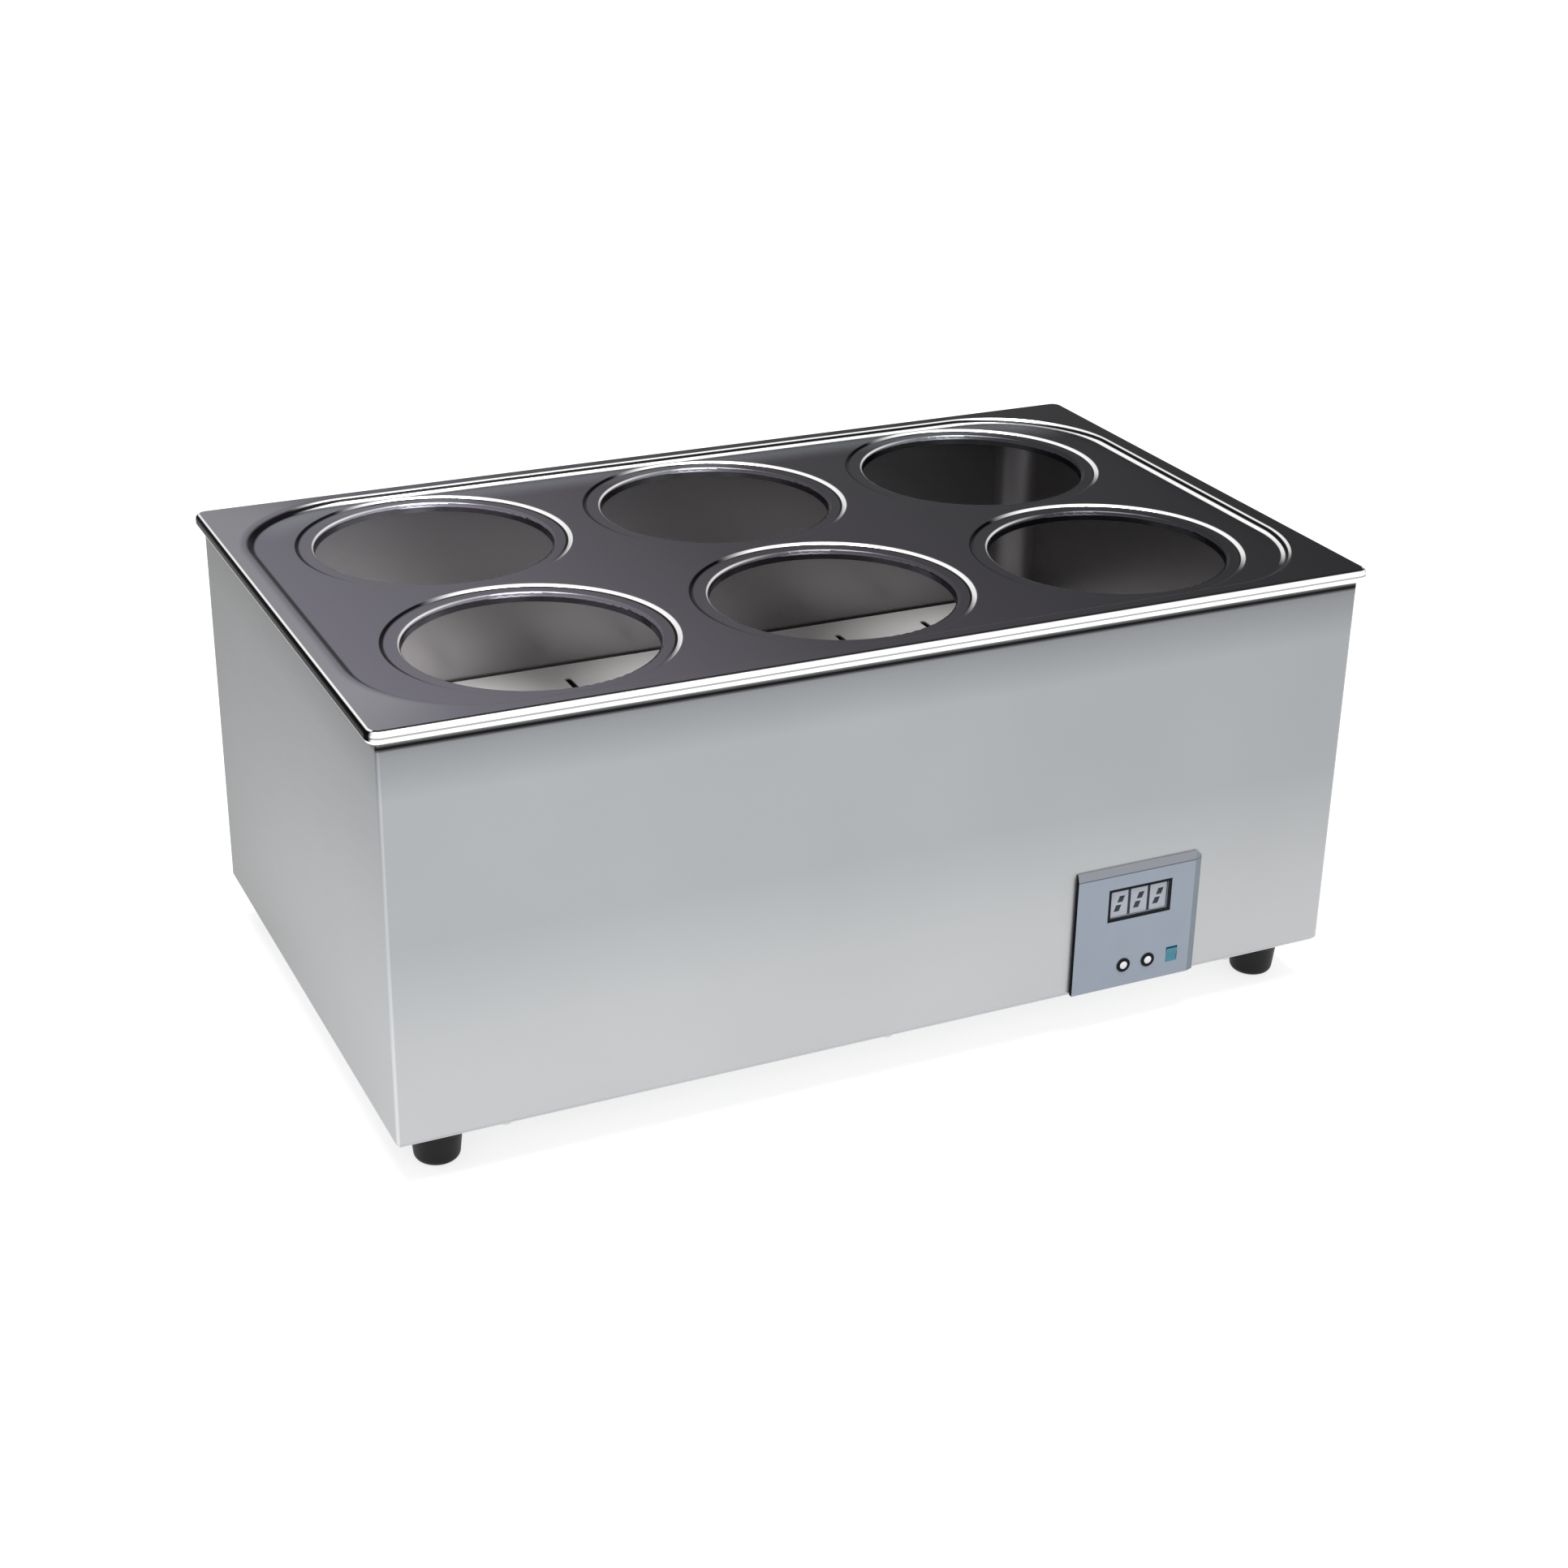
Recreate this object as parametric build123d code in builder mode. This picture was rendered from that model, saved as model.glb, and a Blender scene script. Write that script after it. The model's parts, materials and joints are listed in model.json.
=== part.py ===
"""Bench water bath with a stamped six-opening cover.

The frame: +Z up, +X to the right of someone who faces the controls, -Y towards
them. The origin is on the bench, under the middle of the casing. Millimetres.
"""
import os
from math import atan2, tan

from build123d import *

# Cover: one stamped sheet with a ring seat round each opening
columns = 3
rows = 2
opening_radius = 66.5
ledge_width = 10.1
web_x = 18.3
web_y = 4.6
margin_x = 21.5
margin_y = 1.6
step_run = 3.4
flange_side = 12.7
flange_front = 9.8
recess_depth = 2.8
seat_depth = 0.9
seat_run = 1.4
collar_depth = 5.0
cover_sheet = 0.8
cover_rest_gap = 0.1
panel_corner = 69.0
lip_corner = 7.0
lip_overhang = 4.7
lip_bend = 2.4
lip_turn_in = 3.9
lip_drop = 1.8
step_bend = 2.5
step_spare = 0.1
seat_bend = 0.8
collar_bend = 2.0

# Casing: a folded sheet box on four feet
casing_height = 226.0
casing_sheet = 1.0
casing_fold = 2.0
casing_base_flange = 14.0
base_sheet = 1.0
base_inset = 2.0
foot_height = 24.5
foot_top_radius = 18.0
foot_neck_radius = 13.6
foot_bottom_radius = 12.0
foot_flare = 9.0
foot_edge = 4.0
foot_inset_x = 28.0
foot_inset_y = 24.0

# Tank: hangs by its flange in the casing's top opening
tank_gap_x = 31.0
tank_gap_y = 15.6
tank_corner = 20.0
tank_sheet = 0.8
tank_floor_bend = 2.5
tank_flange_back = 5.3
tank_drop_gap = 2.0
rim_seal = 0.5
rim_seal_width = 6.0

# Bay under the tank and the lagging round it
bay_height = 63.2
base_lagging = 16.0
lagging_gap = 0.4
lagging_inset = 10.0
wrap_over_controls = 5.7
lagging_well_radius = 17.0

# Shelf: a slotted false bottom that stands on its two folded ends
shelf_wall_gap = 2.5
shelf_finger_gap = 32.5
shelf_height = 31.0
shelf_sheet = 1.0
shelf_fold = 1.5
shelf_stiffener = 8.0
slot_columns = 8
slot_end_margin = 19.0
slot_rows = 3
slot_side_margin = 55.5
slot_length = 70.0
slot_width = 4.0

# Heater, probe and drain
heater_radius = 4.0
heater_rise = 18.0
heater_tail = 34.0
heater_tail_bend = 12.0
heater_turn = 28.0
heater_row_pitch = 60.0
heater_end_inset_left = 70.0
heater_end_inset_right = 28.0
heater_tail_inset = 62.0
heater_loop_turn = 40.0
gland_radius = 10.0
gland_height = 4.0
gland_seal = 1.0
gland_edge = 1.0
sleeve_wall = 2.4
probe_radius = 3.0
probe_tip_round = 2.6
probe_rise = 24.0
probe_tail = 22.0
probe_inset = 120.0
terminal_bead = 3.0
terminal_radius = 1.5
terminal_length = 12.0
drain_bore_radius = 8.0
drain_wall = 2.5
drain_rise = 14.0
drain_inset = 60.0
drain_proud = 0.2
plug_clearance = 0.05
plug_seal_thickness = 0.8
plug_head_radius = 12.0
plug_head = 2.6
plug_edge = 0.65
plug_shank = 13.0
plug_slot = 1.6
grommet_lip = 2.0
grommet_thickness = 0.8
grommet_wall = 1.5

# Control fascia at the front's lower right
fascia_width = 81.0
fascia_height = 76.0
fascia_thickness = 2.6
fascia_from_right = 88.0
fascia_bevel = 1.6
fascia_bevel_width = 4.6
fascia_border_x = 9.0
fascia_border_top = 5.0
fascia_border_bottom = 7.0
fascia_stud_radius = 1.5
fascia_stud_length = 5.0
fascia_stud_inset = 4.5
clip_radius = 3.5
clip_thickness = 0.6
clip_gap = 0.3
fascia_corner_cut = 3.0
boss_radius = 2.8
boss_inset = 4.0
boss_from_bottom = 28.0
boss_from_top = 10.0

# Display
display_height = 20.5
display_from_left = 20.2
display_from_right = 19.5
display_from_top = 13.0
display_frame = 2.2
window_thickness = 1.2
window_clearance = 0.15
module_gap = 0.3
digit_count = 3
digit_gap = 1.4
digit_relief = 0.4

# Two push buttons and the power rocker
button_pitch = 16.05
button_z = 13.4
button_radius = 3.3
button_travel = 1.2
button_proud = 0.9
button_dome = 0.6
button_clearance = 0.25
button_skirt = 1.2
button_skirt_thickness = 0.8
button_stem_radius = 1.5
bezel_radius = 4.3
bezel_proud = 0.5
switch_side = 6.0
switch_gap = 3.0
switch_entry = 1.0
rocker_from_right = 16.0
rocker_z = 13.7
rocker_width = 7.0
rocker_height = 8.4
rocker_pivot_depth = 4.2
rocker_dish = 0.7
rocker_proud = 0.5
rocker_tilt = 5.0
rocker_swing_gap = 0.5
rocker_side_gap = 0.2
rocker_body_depth = 3.4
rocker_taper = 0.6
rocker_heel = 1.2
rocker_pin_radius = 0.8
rocker_pin_grip = 0.9
rocker_pin_clearance = 0.05
rocker_box_wall = 1.2
rocker_well_gap = 0.8

# Boards and what stands on them
board_thickness = 1.6
control_board_depth = 9.0
board_edge_gap = 0.6
power_board_width = 104.0
power_board_depth = 70.0
power_board_setback = 36.0
standoff_height = 8.0
standoff_radius = 3.0
standoff_inset = 5.0
transformer_width = 42.0
transformer_depth = 36.0
transformer_height = 30.0
transformer_stack = 14.0
coil_width = 30.0
coil_lift = 3.0
coil_round = 3.6
relay_width = 20.0
relay_depth = 16.0
relay_height = 16.0
relay_edge = 0.8
terminal_width = 46.0
terminal_depth = 12.0
terminal_height = 13.0
terminal_ways = 6
terminal_screw_radius = 2.0
terminal_screw_depth = 4.0
part_gap = 6.0

# Mains inlet in the back
inlet_flange_height = 22.0
inlet_flange = 3.0
inlet_edge = 3.0
inlet_body_width = 27.0
inlet_body_height = 19.0
inlet_body_depth = 18.0
inlet_mouth_width = 24.6
inlet_mouth_height = 16.3
inlet_mouth_depth = 16.0
inlet_mouth_chamfer = 4.5
inlet_nut_gap = 2.3
inlet_ear = 5.0
inlet_z = 34.0
inlet_from_right = 128.0
pin_width = 2.0
pin_height = 4.0
pin_length = 13.5
pin_pitch = 14.0
pin_offset = 4.0
pin_drop = 1.6
pin_tab_length = 8.0
earth_stud_radius = 2.0
earth_stud_length = 14.0

# Fasteners
screw_radius = 1.9
clearance = 0.1
screw_head_radius = 3.5
screw_head = 2.2
screw_head_round = 0.5
screw_length = 6.0
small_screw_radius = 1.3
small_screw_head_radius = 2.5
small_screw_head = 1.6
small_screw_length = 5.0
nut_height = 3.2
nut_radius = 4.2
foot_screw_well = 12.5
foot_screw_well_radius = 5.0
vent_slots = 10
vent_pitch = 12.0
vent_length = 60.0
vent_width = 4.0
base_screw_margin = 60.0

# Plan sizes, built up from the ring seats outwards
seat_radius = opening_radius + ledge_width
pitch_x = 2 * seat_radius + web_x
pitch_y = 2 * seat_radius + web_y
panel_x = (columns - 1) * pitch_x / 2 + seat_radius + margin_x
panel_y = (rows - 1) * pitch_y / 2 + seat_radius + margin_y
lip_x = panel_x + step_run + flange_side
lip_y = panel_y + step_run + flange_front
casing_x = lip_x - lip_overhang
casing_y = lip_y - lip_overhang
tank_x = casing_x - tank_gap_x
tank_y = casing_y - tank_gap_y

# Levels, from the bench upwards
base_z = foot_height + base_sheet
rim_z = base_z + casing_height
tank_flange_z = rim_z + rim_seal
lip_height = rim_seal + tank_sheet + cover_rest_gap + cover_sheet + seat_depth + recess_depth
cover_top = rim_z + lip_height
lagging_z = base_z + bay_height
tank_under_z = lagging_z + base_lagging
tank_floor_z = tank_under_z + tank_sheet

# The front and back faces of the casing; sketches on them use x and z
front = Plane.XZ.offset(casing_y)
back = Plane.XZ.offset(-casing_y)

ON_TOP = (Align.CENTER, Align.CENTER, Align.MIN)
BELOW = (Align.CENTER, Align.CENTER, Align.MAX)


def rounded_quarter(half_x, half_y, corner, level):
    """The right rear quarter of a rounded rectangle, as a path from its side to its back."""
    with BuildLine() as path:
        FilletPolyline((half_x, 0, level), (half_x, half_y, level), (0, half_y, level), radius=corner)
    return path.line


def screw(shank_radius, shank_length, head_radius, head_height):
    """A pan-head screw that points down, with the seat of its head at z = 0."""
    with BuildPart() as made:
        Cylinder(head_radius, head_height, align=ON_TOP)
        fillet(made.edges().group_by(Axis.Z)[-1], screw_head_round)
        Cylinder(shank_radius, shank_length, align=BELOW)
    return made.part


def hex_ring(radius, bore, height):
    """A hexagon nut that stands on z = 0, with its corners at the given radius."""
    with BuildPart() as made:
        with BuildSketch():
            RegularPolygon(radius, 6)
            Circle(bore, mode=Mode.SUBTRACT)
        extrude(amount=height)
    return made.part


def save(part, name):
    """Label one finished piece and write it."""
    part.label = name
    export_step(part, f"parts/{name}.step")


os.makedirs("parts", exist_ok=True)

# Cover: lip and step are swept round their own corners, the seats are turned
flange_mid = cover_top - cover_sheet / 2
panel_mid = flange_mid - recess_depth
seat_mid = panel_mid - seat_depth
lip_under = rim_z - lip_drop + cover_sheet / 2
seat_points = GridLocations(pitch_x, pitch_y, columns, rows)
step_x = panel_x + step_run
step_y = panel_y + step_run
step_flat = 2 * step_bend
step_lead = step_bend * tan(atan2(recess_depth, step_run) / 2) + step_spare
collar_mid = opening_radius + cover_sheet / 2


def ring_seat():
    """One seat, turned about Z: a shallow step, a flat ledge and a turned-down collar."""
    with BuildPart() as seat:
        with BuildSketch(Plane.XZ):
            with BuildLine():
                FilletPolyline(
                    (seat_radius + seat_bend, panel_mid),
                    (seat_radius, panel_mid),
                    (seat_radius - seat_run, seat_mid),
                    (collar_mid, seat_mid),
                    (collar_mid, seat_mid - collar_depth),
                    radius=[seat_bend, seat_bend, collar_bend],
                )
            trace(line_width=cover_sheet)
        revolve(axis=Axis.Z)
    return seat.part


with BuildPart() as cover:
    with BuildSketch(Plane.XZ):
        with BuildLine():
            FilletPolyline(
                (lip_x - lip_turn_in, flange_mid),
                (lip_x - cover_sheet / 2, flange_mid),
                (lip_x - cover_sheet / 2, lip_under),
                (lip_x - lip_turn_in, lip_under),
                radius=lip_bend,
            )
        trace(line_width=cover_sheet)
    sweep(path=rounded_quarter(lip_x, lip_y, lip_corner, flange_mid))
    with BuildSketch(Plane.XZ):
        with BuildLine():
            FilletPolyline(
                (step_x + step_flat, flange_mid),
                (step_x, flange_mid),
                (panel_x, panel_mid),
                (panel_x - step_lead, panel_mid),
                radius=step_bend,
            )
        trace(line_width=cover_sheet)
    sweep(path=rounded_quarter(step_x, step_y, panel_corner, flange_mid))
    mirror(about=Plane.XZ)
    mirror(about=Plane.YZ)
    with BuildSketch(Plane.XY.offset(cover_top - cover_sheet)):
        flange_outer = lip_corner - lip_turn_in
        RectangleRounded(2 * (lip_x - lip_turn_in), 2 * (lip_y - lip_turn_in), flange_outer)
        RectangleRounded(
            2 * (step_x + step_flat),
            2 * (step_y + step_flat),
            panel_corner + step_flat,
            mode=Mode.SUBTRACT,
        )
    extrude(amount=cover_sheet)
    with BuildSketch(Plane.XY.offset(panel_mid - cover_sheet / 2)):
        RectangleRounded(
            2 * (panel_x - step_lead),
            2 * (panel_y - step_lead),
            panel_corner - step_run - step_lead,
        )
        with seat_points:
            Circle(seat_radius + seat_bend, mode=Mode.SUBTRACT)
    extrude(amount=cover_sheet)
    with seat_points:
        add(ring_seat())
save(cover.part, "cover")

# Casing: a closed folded box, opened above for the tank and below for the base
tank_outer_x = tank_x + tank_sheet
tank_outer_y = tank_y + tank_sheet
tank_outer_corner = tank_corner + tank_sheet
fascia_x = casing_x - fascia_from_right - fascia_width / 2
fascia_mid_z = base_z + fascia_height / 2
fascia_top = base_z + fascia_height
border_mid = (fascia_border_bottom - fascia_border_top) / 2
window_size = (fascia_width - 2 * fascia_border_x, fascia_height - fascia_border_top - fascia_border_bottom)
stud_half_x = fascia_width / 2 - fascia_stud_inset
stud_low = base_z + casing_fold + clip_radius + clip_gap
stud_high = fascia_top - fascia_stud_inset
stud_levels = (stud_low, stud_high)
stud_points = [(fascia_x + side * stud_half_x, level) for side in (-1, 1) for level in stud_levels]
inlet_x = casing_x - inlet_from_right
inlet_screw_spacing = inlet_body_width + 2 * (nut_radius + inlet_nut_gap)
inlet_flange_width = inlet_screw_spacing + 2 * inlet_ear
inlet_level = base_z + inlet_z
inlet_screw_points = [(inlet_x + side * inlet_screw_spacing / 2, inlet_level) for side in (-1, 1)]
drain_x = drain_inset - tank_x
drain_z = tank_floor_z + drain_rise
drain_radius = drain_bore_radius + drain_wall
base_screw_x = casing_x - base_screw_margin
base_screw_y = casing_y - casing_base_flange / 2
base_screw_points = [(sx * base_screw_x, sy * base_screw_y) for sx in (-1, 0, 1) for sy in (-1, 1)]
foot_points = {
    "front_left": (foot_inset_x - casing_x, foot_inset_y - casing_y),
    "front_right": (casing_x - foot_inset_x, foot_inset_y - casing_y),
    "rear_left": (foot_inset_x - casing_x, casing_y - foot_inset_y),
    "rear_right": (casing_x - foot_inset_x, casing_y - foot_inset_y),
}
screw_hole = screw_radius + clearance

with BuildPart() as casing:
    with Locations((0, 0, base_z)):
        Box(2 * casing_x, 2 * casing_y, casing_height, align=ON_TOP)
    fillet(casing.edges(), casing_fold)
    offset(amount=-casing_sheet, mode=Mode.SUBTRACT)
    with BuildSketch(Plane.XY.offset(rim_z)):
        RectangleRounded(
            2 * (tank_outer_x + tank_drop_gap),
            2 * (tank_outer_y + tank_drop_gap),
            tank_outer_corner + tank_drop_gap,
        )
    extrude(amount=-2 * casing_sheet, mode=Mode.SUBTRACT)
    with BuildSketch(Plane.XY.offset(base_z)):
        Rectangle(2 * (casing_x - casing_base_flange), 2 * (casing_y - casing_base_flange))
        with Locations(*base_screw_points):
            Circle(screw_hole)
    extrude(amount=2 * casing_sheet, mode=Mode.SUBTRACT)
    with BuildSketch(front):
        with Locations((fascia_x, fascia_mid_z + border_mid)):
            Rectangle(*window_size)
        with Locations(*stud_points):
            Circle(fascia_stud_radius + clearance)
    extrude(amount=-2 * casing_sheet, mode=Mode.SUBTRACT)
    with BuildSketch(back):
        with Locations((inlet_x, inlet_level)):
            Rectangle(inlet_body_width + 2 * clearance, inlet_body_height + 2 * clearance)
        with Locations(*inlet_screw_points):
            Circle(screw_hole)
        with Locations((drain_x, drain_z)):
            Circle(drain_radius + grommet_wall)
    extrude(amount=2 * casing_sheet, mode=Mode.SUBTRACT)
save(casing.part, "casing")

# Base: a plate under the casing's flange, with vents, four feet and their screws
board_x = fascia_x
board_y = power_board_setback + control_board_depth - casing_y + power_board_depth / 2
board_half_x = power_board_width / 2 - standoff_inset
board_half_y = power_board_depth / 2 - standoff_inset
standoff_xs = (board_x - board_half_x, board_x + board_half_x)
standoff_ys = (board_y - board_half_y, board_y + board_half_y)
standoff_points = [(x, y) for x in standoff_xs for y in standoff_ys]
foot_centres = list(foot_points.values())

with BuildPart() as base_plate:
    with BuildSketch(Plane.XY.offset(base_z)):
        Rectangle(2 * (casing_x - base_inset), 2 * (casing_y - base_inset))
        with Locations(*base_screw_points, *foot_centres, *standoff_points):
            Circle(screw_hole, mode=Mode.SUBTRACT)
        with Locations((board_x, board_y), (-board_x, board_y)):
            with GridLocations(vent_pitch, 0, vent_slots, 1):
                SlotOverall(vent_length, vent_width, rotation=90, mode=Mode.SUBTRACT)
    extrude(amount=-base_sheet)
save(base_plate.part, "base_plate")

with BuildPart() as base_screws:
    with Locations(*[Location((x, y, base_z - base_sheet), (180, 0, 0)) for x, y in base_screw_points]):
        add(screw(screw_radius, screw_length, screw_head_radius, screw_head))
save(base_screws.part, "base_screws")


def rubber_foot():
    """A tapered foot, flared towards the base plate, with a well for the head of its screw."""
    neck = (foot_neck_radius, foot_height - foot_flare)
    top = (foot_top_radius, foot_height)
    with BuildPart() as made:
        with BuildSketch(Plane.XZ):
            with BuildLine():
                TangentArc(neck, top, tangent=(0, 1))
                Polyline(
                    neck,
                    (foot_bottom_radius, 0),
                    (foot_screw_well_radius, 0),
                    (foot_screw_well_radius, foot_screw_well),
                    (screw_hole, foot_screw_well),
                    (screw_hole, foot_height),
                    top,
                )
            make_face()
        revolve(axis=Axis.Z)
        fillet(made.edges().group_by(Axis.Z)[0].sort_by(SortBy.RADIUS)[-1], foot_edge)
    return made.part


for corner_name, foot_centre in foot_points.items():
    with BuildPart() as foot:
        with Locations(foot_centre):
            add(rubber_foot())
    save(foot.part, f"foot_{corner_name}")

foot_grip = foot_height - foot_screw_well + base_sheet
with BuildPart() as foot_screws:
    with Locations(*[Location((x, y, foot_screw_well), (180, 0, 0)) for x, y in foot_centres]):
        add(screw(screw_radius, foot_grip + nut_height, screw_head_radius, screw_head))
save(foot_screws.part, "foot_screws")

with BuildPart() as foot_nuts:
    with Locations(*[(x, y, base_z) for x, y in foot_centres]):
        add(hex_ring(nut_radius, screw_hole, nut_height))
save(foot_nuts.part, "foot_nuts")

# Tank: walls and floor in one, with a flange that lies on the rim seal
flange_x = casing_x - tank_flange_back
flange_y = casing_y - tank_flange_back
heater_z = tank_floor_z + heater_rise
tail_x = tank_x - heater_tail_inset
tail_half_y = heater_row_pitch / 2
probe_x = tank_x - probe_inset
gland_points = [(tail_x, -tail_half_y), (tail_x, tail_half_y)]

with BuildPart() as tank:
    with BuildSketch(Plane.XY.offset(tank_under_z)):
        RectangleRounded(2 * tank_outer_x, 2 * tank_outer_y, tank_outer_corner)
    extrude(amount=tank_flange_z - tank_under_z)
    fillet(tank.edges().group_by(Axis.Z)[0], tank_floor_bend)
    offset(amount=-tank_sheet, openings=tank.faces().sort_by(Axis.Z)[-1])
    with BuildSketch(Plane.XY.offset(tank_flange_z)):
        Rectangle(2 * flange_x, 2 * flange_y)
        RectangleRounded(2 * tank_x, 2 * tank_y, tank_corner, mode=Mode.SUBTRACT)
    extrude(amount=tank_sheet)
    with BuildSketch(Plane.XY.offset(tank_under_z)):
        with Locations(*gland_points):
            Circle(heater_radius + sleeve_wall + clearance)
        with Locations((probe_x, 0)):
            Circle(probe_radius + sleeve_wall + clearance)
    extrude(amount=2 * tank_sheet, mode=Mode.SUBTRACT)
    with BuildSketch(Plane.XZ.offset(-tank_y)):
        with Locations((drain_x, drain_z)):
            Circle(drain_bore_radius)
    extrude(amount=-2 * tank_sheet, mode=Mode.SUBTRACT)
save(tank.part, "tank")

with BuildPart() as rim_gasket:
    with BuildSketch(Plane.XY.offset(rim_z)):
        Rectangle(2 * flange_x, 2 * flange_y)
        Rectangle(2 * (flange_x - rim_seal_width), 2 * (flange_y - rim_seal_width), mode=Mode.SUBTRACT)
    extrude(amount=rim_seal)
save(rim_gasket.part, "rim_gasket")

# Lagging: a wrap round the tank's walls and a slab under its floor
wrap_x = casing_x - casing_sheet - lagging_gap
wrap_y = casing_y - casing_sheet - lagging_gap
wrap_low = fascia_top + wrap_over_controls
with BuildPart() as insulation_wrap:
    with BuildSketch(Plane.XY.offset(wrap_low)):
        Rectangle(2 * wrap_x, 2 * wrap_y)
        RectangleRounded(
            2 * (tank_outer_x + lagging_gap),
            2 * (tank_outer_y + lagging_gap),
            tank_outer_corner + lagging_gap,
            mode=Mode.SUBTRACT,
        )
    extrude(amount=rim_z - casing_sheet - lagging_gap - wrap_low)
    with BuildSketch(Plane.XZ.offset(-tank_y)):
        with Locations((drain_x, drain_z)):
            Circle(drain_radius + grommet_wall + grommet_lip + lagging_gap)
    extrude(amount=-tank_gap_y, mode=Mode.SUBTRACT)
save(insulation_wrap.part, "insulation_wrap")

with BuildPart() as insulation_base:
    with BuildSketch(Plane.XY.offset(lagging_z)):
        RectangleRounded(2 * (tank_x - lagging_inset), 2 * (tank_y - lagging_inset), tank_corner)
        with Locations(*gland_points, (probe_x, 0)):
            Circle(lagging_well_radius, mode=Mode.SUBTRACT)
    extrude(amount=base_lagging)
save(insulation_base.part, "insulation_base")

# Shelf: lies against the right-hand wall and stands on its folded ends
shelf_width = 2 * tank_x - shelf_wall_gap - shelf_finger_gap
shelf_x = tank_x - shelf_wall_gap - shelf_width / 2
shelf_half_y = tank_y - shelf_wall_gap
slot_pitch = (shelf_width - 2 * slot_end_margin) / (slot_columns - 1)
slot_row_pitch = 2 * (shelf_half_y - slot_side_margin) / (slot_rows - 1)
shelf_corner = tank_corner - shelf_wall_gap
leg_half_y = tank_y - tank_corner - shelf_wall_gap
shelf_top = tank_floor_z + shelf_height
with BuildPart() as shelf:
    with BuildSketch(Plane.XZ.offset(-leg_half_y)):
        with BuildLine():
            FilletPolyline(
                (shelf_x - shelf_width / 2 + shelf_sheet / 2, tank_floor_z),
                (shelf_x - shelf_width / 2 + shelf_sheet / 2, shelf_top - shelf_sheet / 2),
                (shelf_x + shelf_width / 2 - shelf_sheet / 2, shelf_top - shelf_sheet / 2),
                (shelf_x + shelf_width / 2 - shelf_sheet / 2, tank_floor_z),
                radius=shelf_fold,
            )
        trace(line_width=shelf_sheet)
    extrude(amount=2 * leg_half_y)
    with BuildSketch(Plane.XY.offset(shelf_top)):
        with Locations((shelf_x, 0)):
            RectangleRounded(shelf_width - 2 * shelf_fold - shelf_sheet, 2 * shelf_half_y, shelf_corner)
    extrude(amount=-shelf_sheet)
    with BuildSketch(Plane.XY.offset(shelf_top)):
        with Locations((shelf_x, 0)):
            Rectangle(shelf_width - 2 * shelf_corner, 2 * shelf_half_y)
            Rectangle(shelf_width, 2 * (shelf_half_y - shelf_sheet), mode=Mode.SUBTRACT)
    extrude(amount=-shelf_stiffener)
    with BuildSketch(Plane.XY.offset(shelf_top)):
        with Locations((shelf_x, 0)):
            with GridLocations(slot_pitch, slot_row_pitch, slot_columns, slot_rows):
                SlotOverall(slot_length, slot_width, rotation=90)
    extrude(amount=-2 * shelf_sheet, mode=Mode.SUBTRACT)
save(shelf.part, "shelf")

# Heater: one tube bent into four runs under the shelf, both tails down through the floor
heater_left = heater_end_inset_left - tank_x
heater_right = tank_x - heater_end_inset_right
outer_run = heater_row_pitch / 2 + heater_row_pitch
tail_end_z = tank_under_z - heater_tail
with BuildPart() as heater_element:
    with BuildLine() as heater_path:
        FilletPolyline(
            (tail_x, -tail_half_y, tail_end_z),
            (tail_x, -tail_half_y, heater_z),
            (heater_left, -tail_half_y, heater_z),
            (heater_left, -outer_run, heater_z),
            (heater_right, -outer_run, heater_z),
            (heater_right, outer_run, heater_z),
            (heater_left, outer_run, heater_z),
            (heater_left, tail_half_y, heater_z),
            (tail_x, tail_half_y, heater_z),
            (tail_x, tail_half_y, tail_end_z),
            radius=[
                heater_tail_bend,
                heater_turn,
                heater_turn,
                heater_loop_turn,
                heater_loop_turn,
                heater_turn,
                heater_turn,
                heater_tail_bend,
            ],
        )
    with BuildSketch(Plane.XY.offset(tail_end_z)):
        with Locations(gland_points[0]):
            Circle(heater_radius)
    sweep(path=heater_path.line)
save(heater_element.part, "heater_element")


def gland(bore):
    """A flanged bush that stands on z = 0 and reaches down through the tank's floor."""
    with BuildPart() as made:
        Cylinder(gland_radius, gland_height, align=ON_TOP)
        fillet(made.edges().group_by(Axis.Z)[-1], gland_edge)
        Cylinder(bore + sleeve_wall, gland_seal + tank_sheet + nut_height, align=BELOW)
        Cylinder(bore + clearance, 3 * gland_height + nut_height, mode=Mode.SUBTRACT)
    return made.part


def washer(radius, bore, thickness):
    """A flat ring that stands on z = 0."""
    with BuildPart() as made:
        Cylinder(radius, thickness, align=ON_TOP)
        Cylinder(bore, 3 * thickness, mode=Mode.SUBTRACT)
    return made.part


gland_z = tank_floor_z + gland_seal
nut_z = tank_under_z - nut_height
with BuildPart() as heater_glands:
    with Locations(*[(x, y, gland_z) for x, y in gland_points]):
        add(gland(heater_radius))
save(heater_glands.part, "heater_glands")

with BuildPart() as heater_seals:
    with Locations(*[(x, y, tank_floor_z) for x, y in gland_points]):
        add(washer(gland_radius, heater_radius + sleeve_wall + clearance, gland_seal))
save(heater_seals.part, "heater_seals")

with BuildPart() as heater_nuts:
    with Locations(*[(x, y, nut_z) for x, y in gland_points]):
        add(hex_ring(gland_radius, heater_radius + sleeve_wall + clearance, nut_height))
save(heater_nuts.part, "heater_nuts")

with BuildPart() as heater_terminals:
    with Locations(*[(x, y, tail_end_z) for x, y in gland_points]):
        Cylinder(heater_radius, terminal_bead, align=BELOW)
        Cylinder(terminal_radius, terminal_bead + terminal_length, align=BELOW)
save(heater_terminals.part, "heater_terminals")

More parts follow.
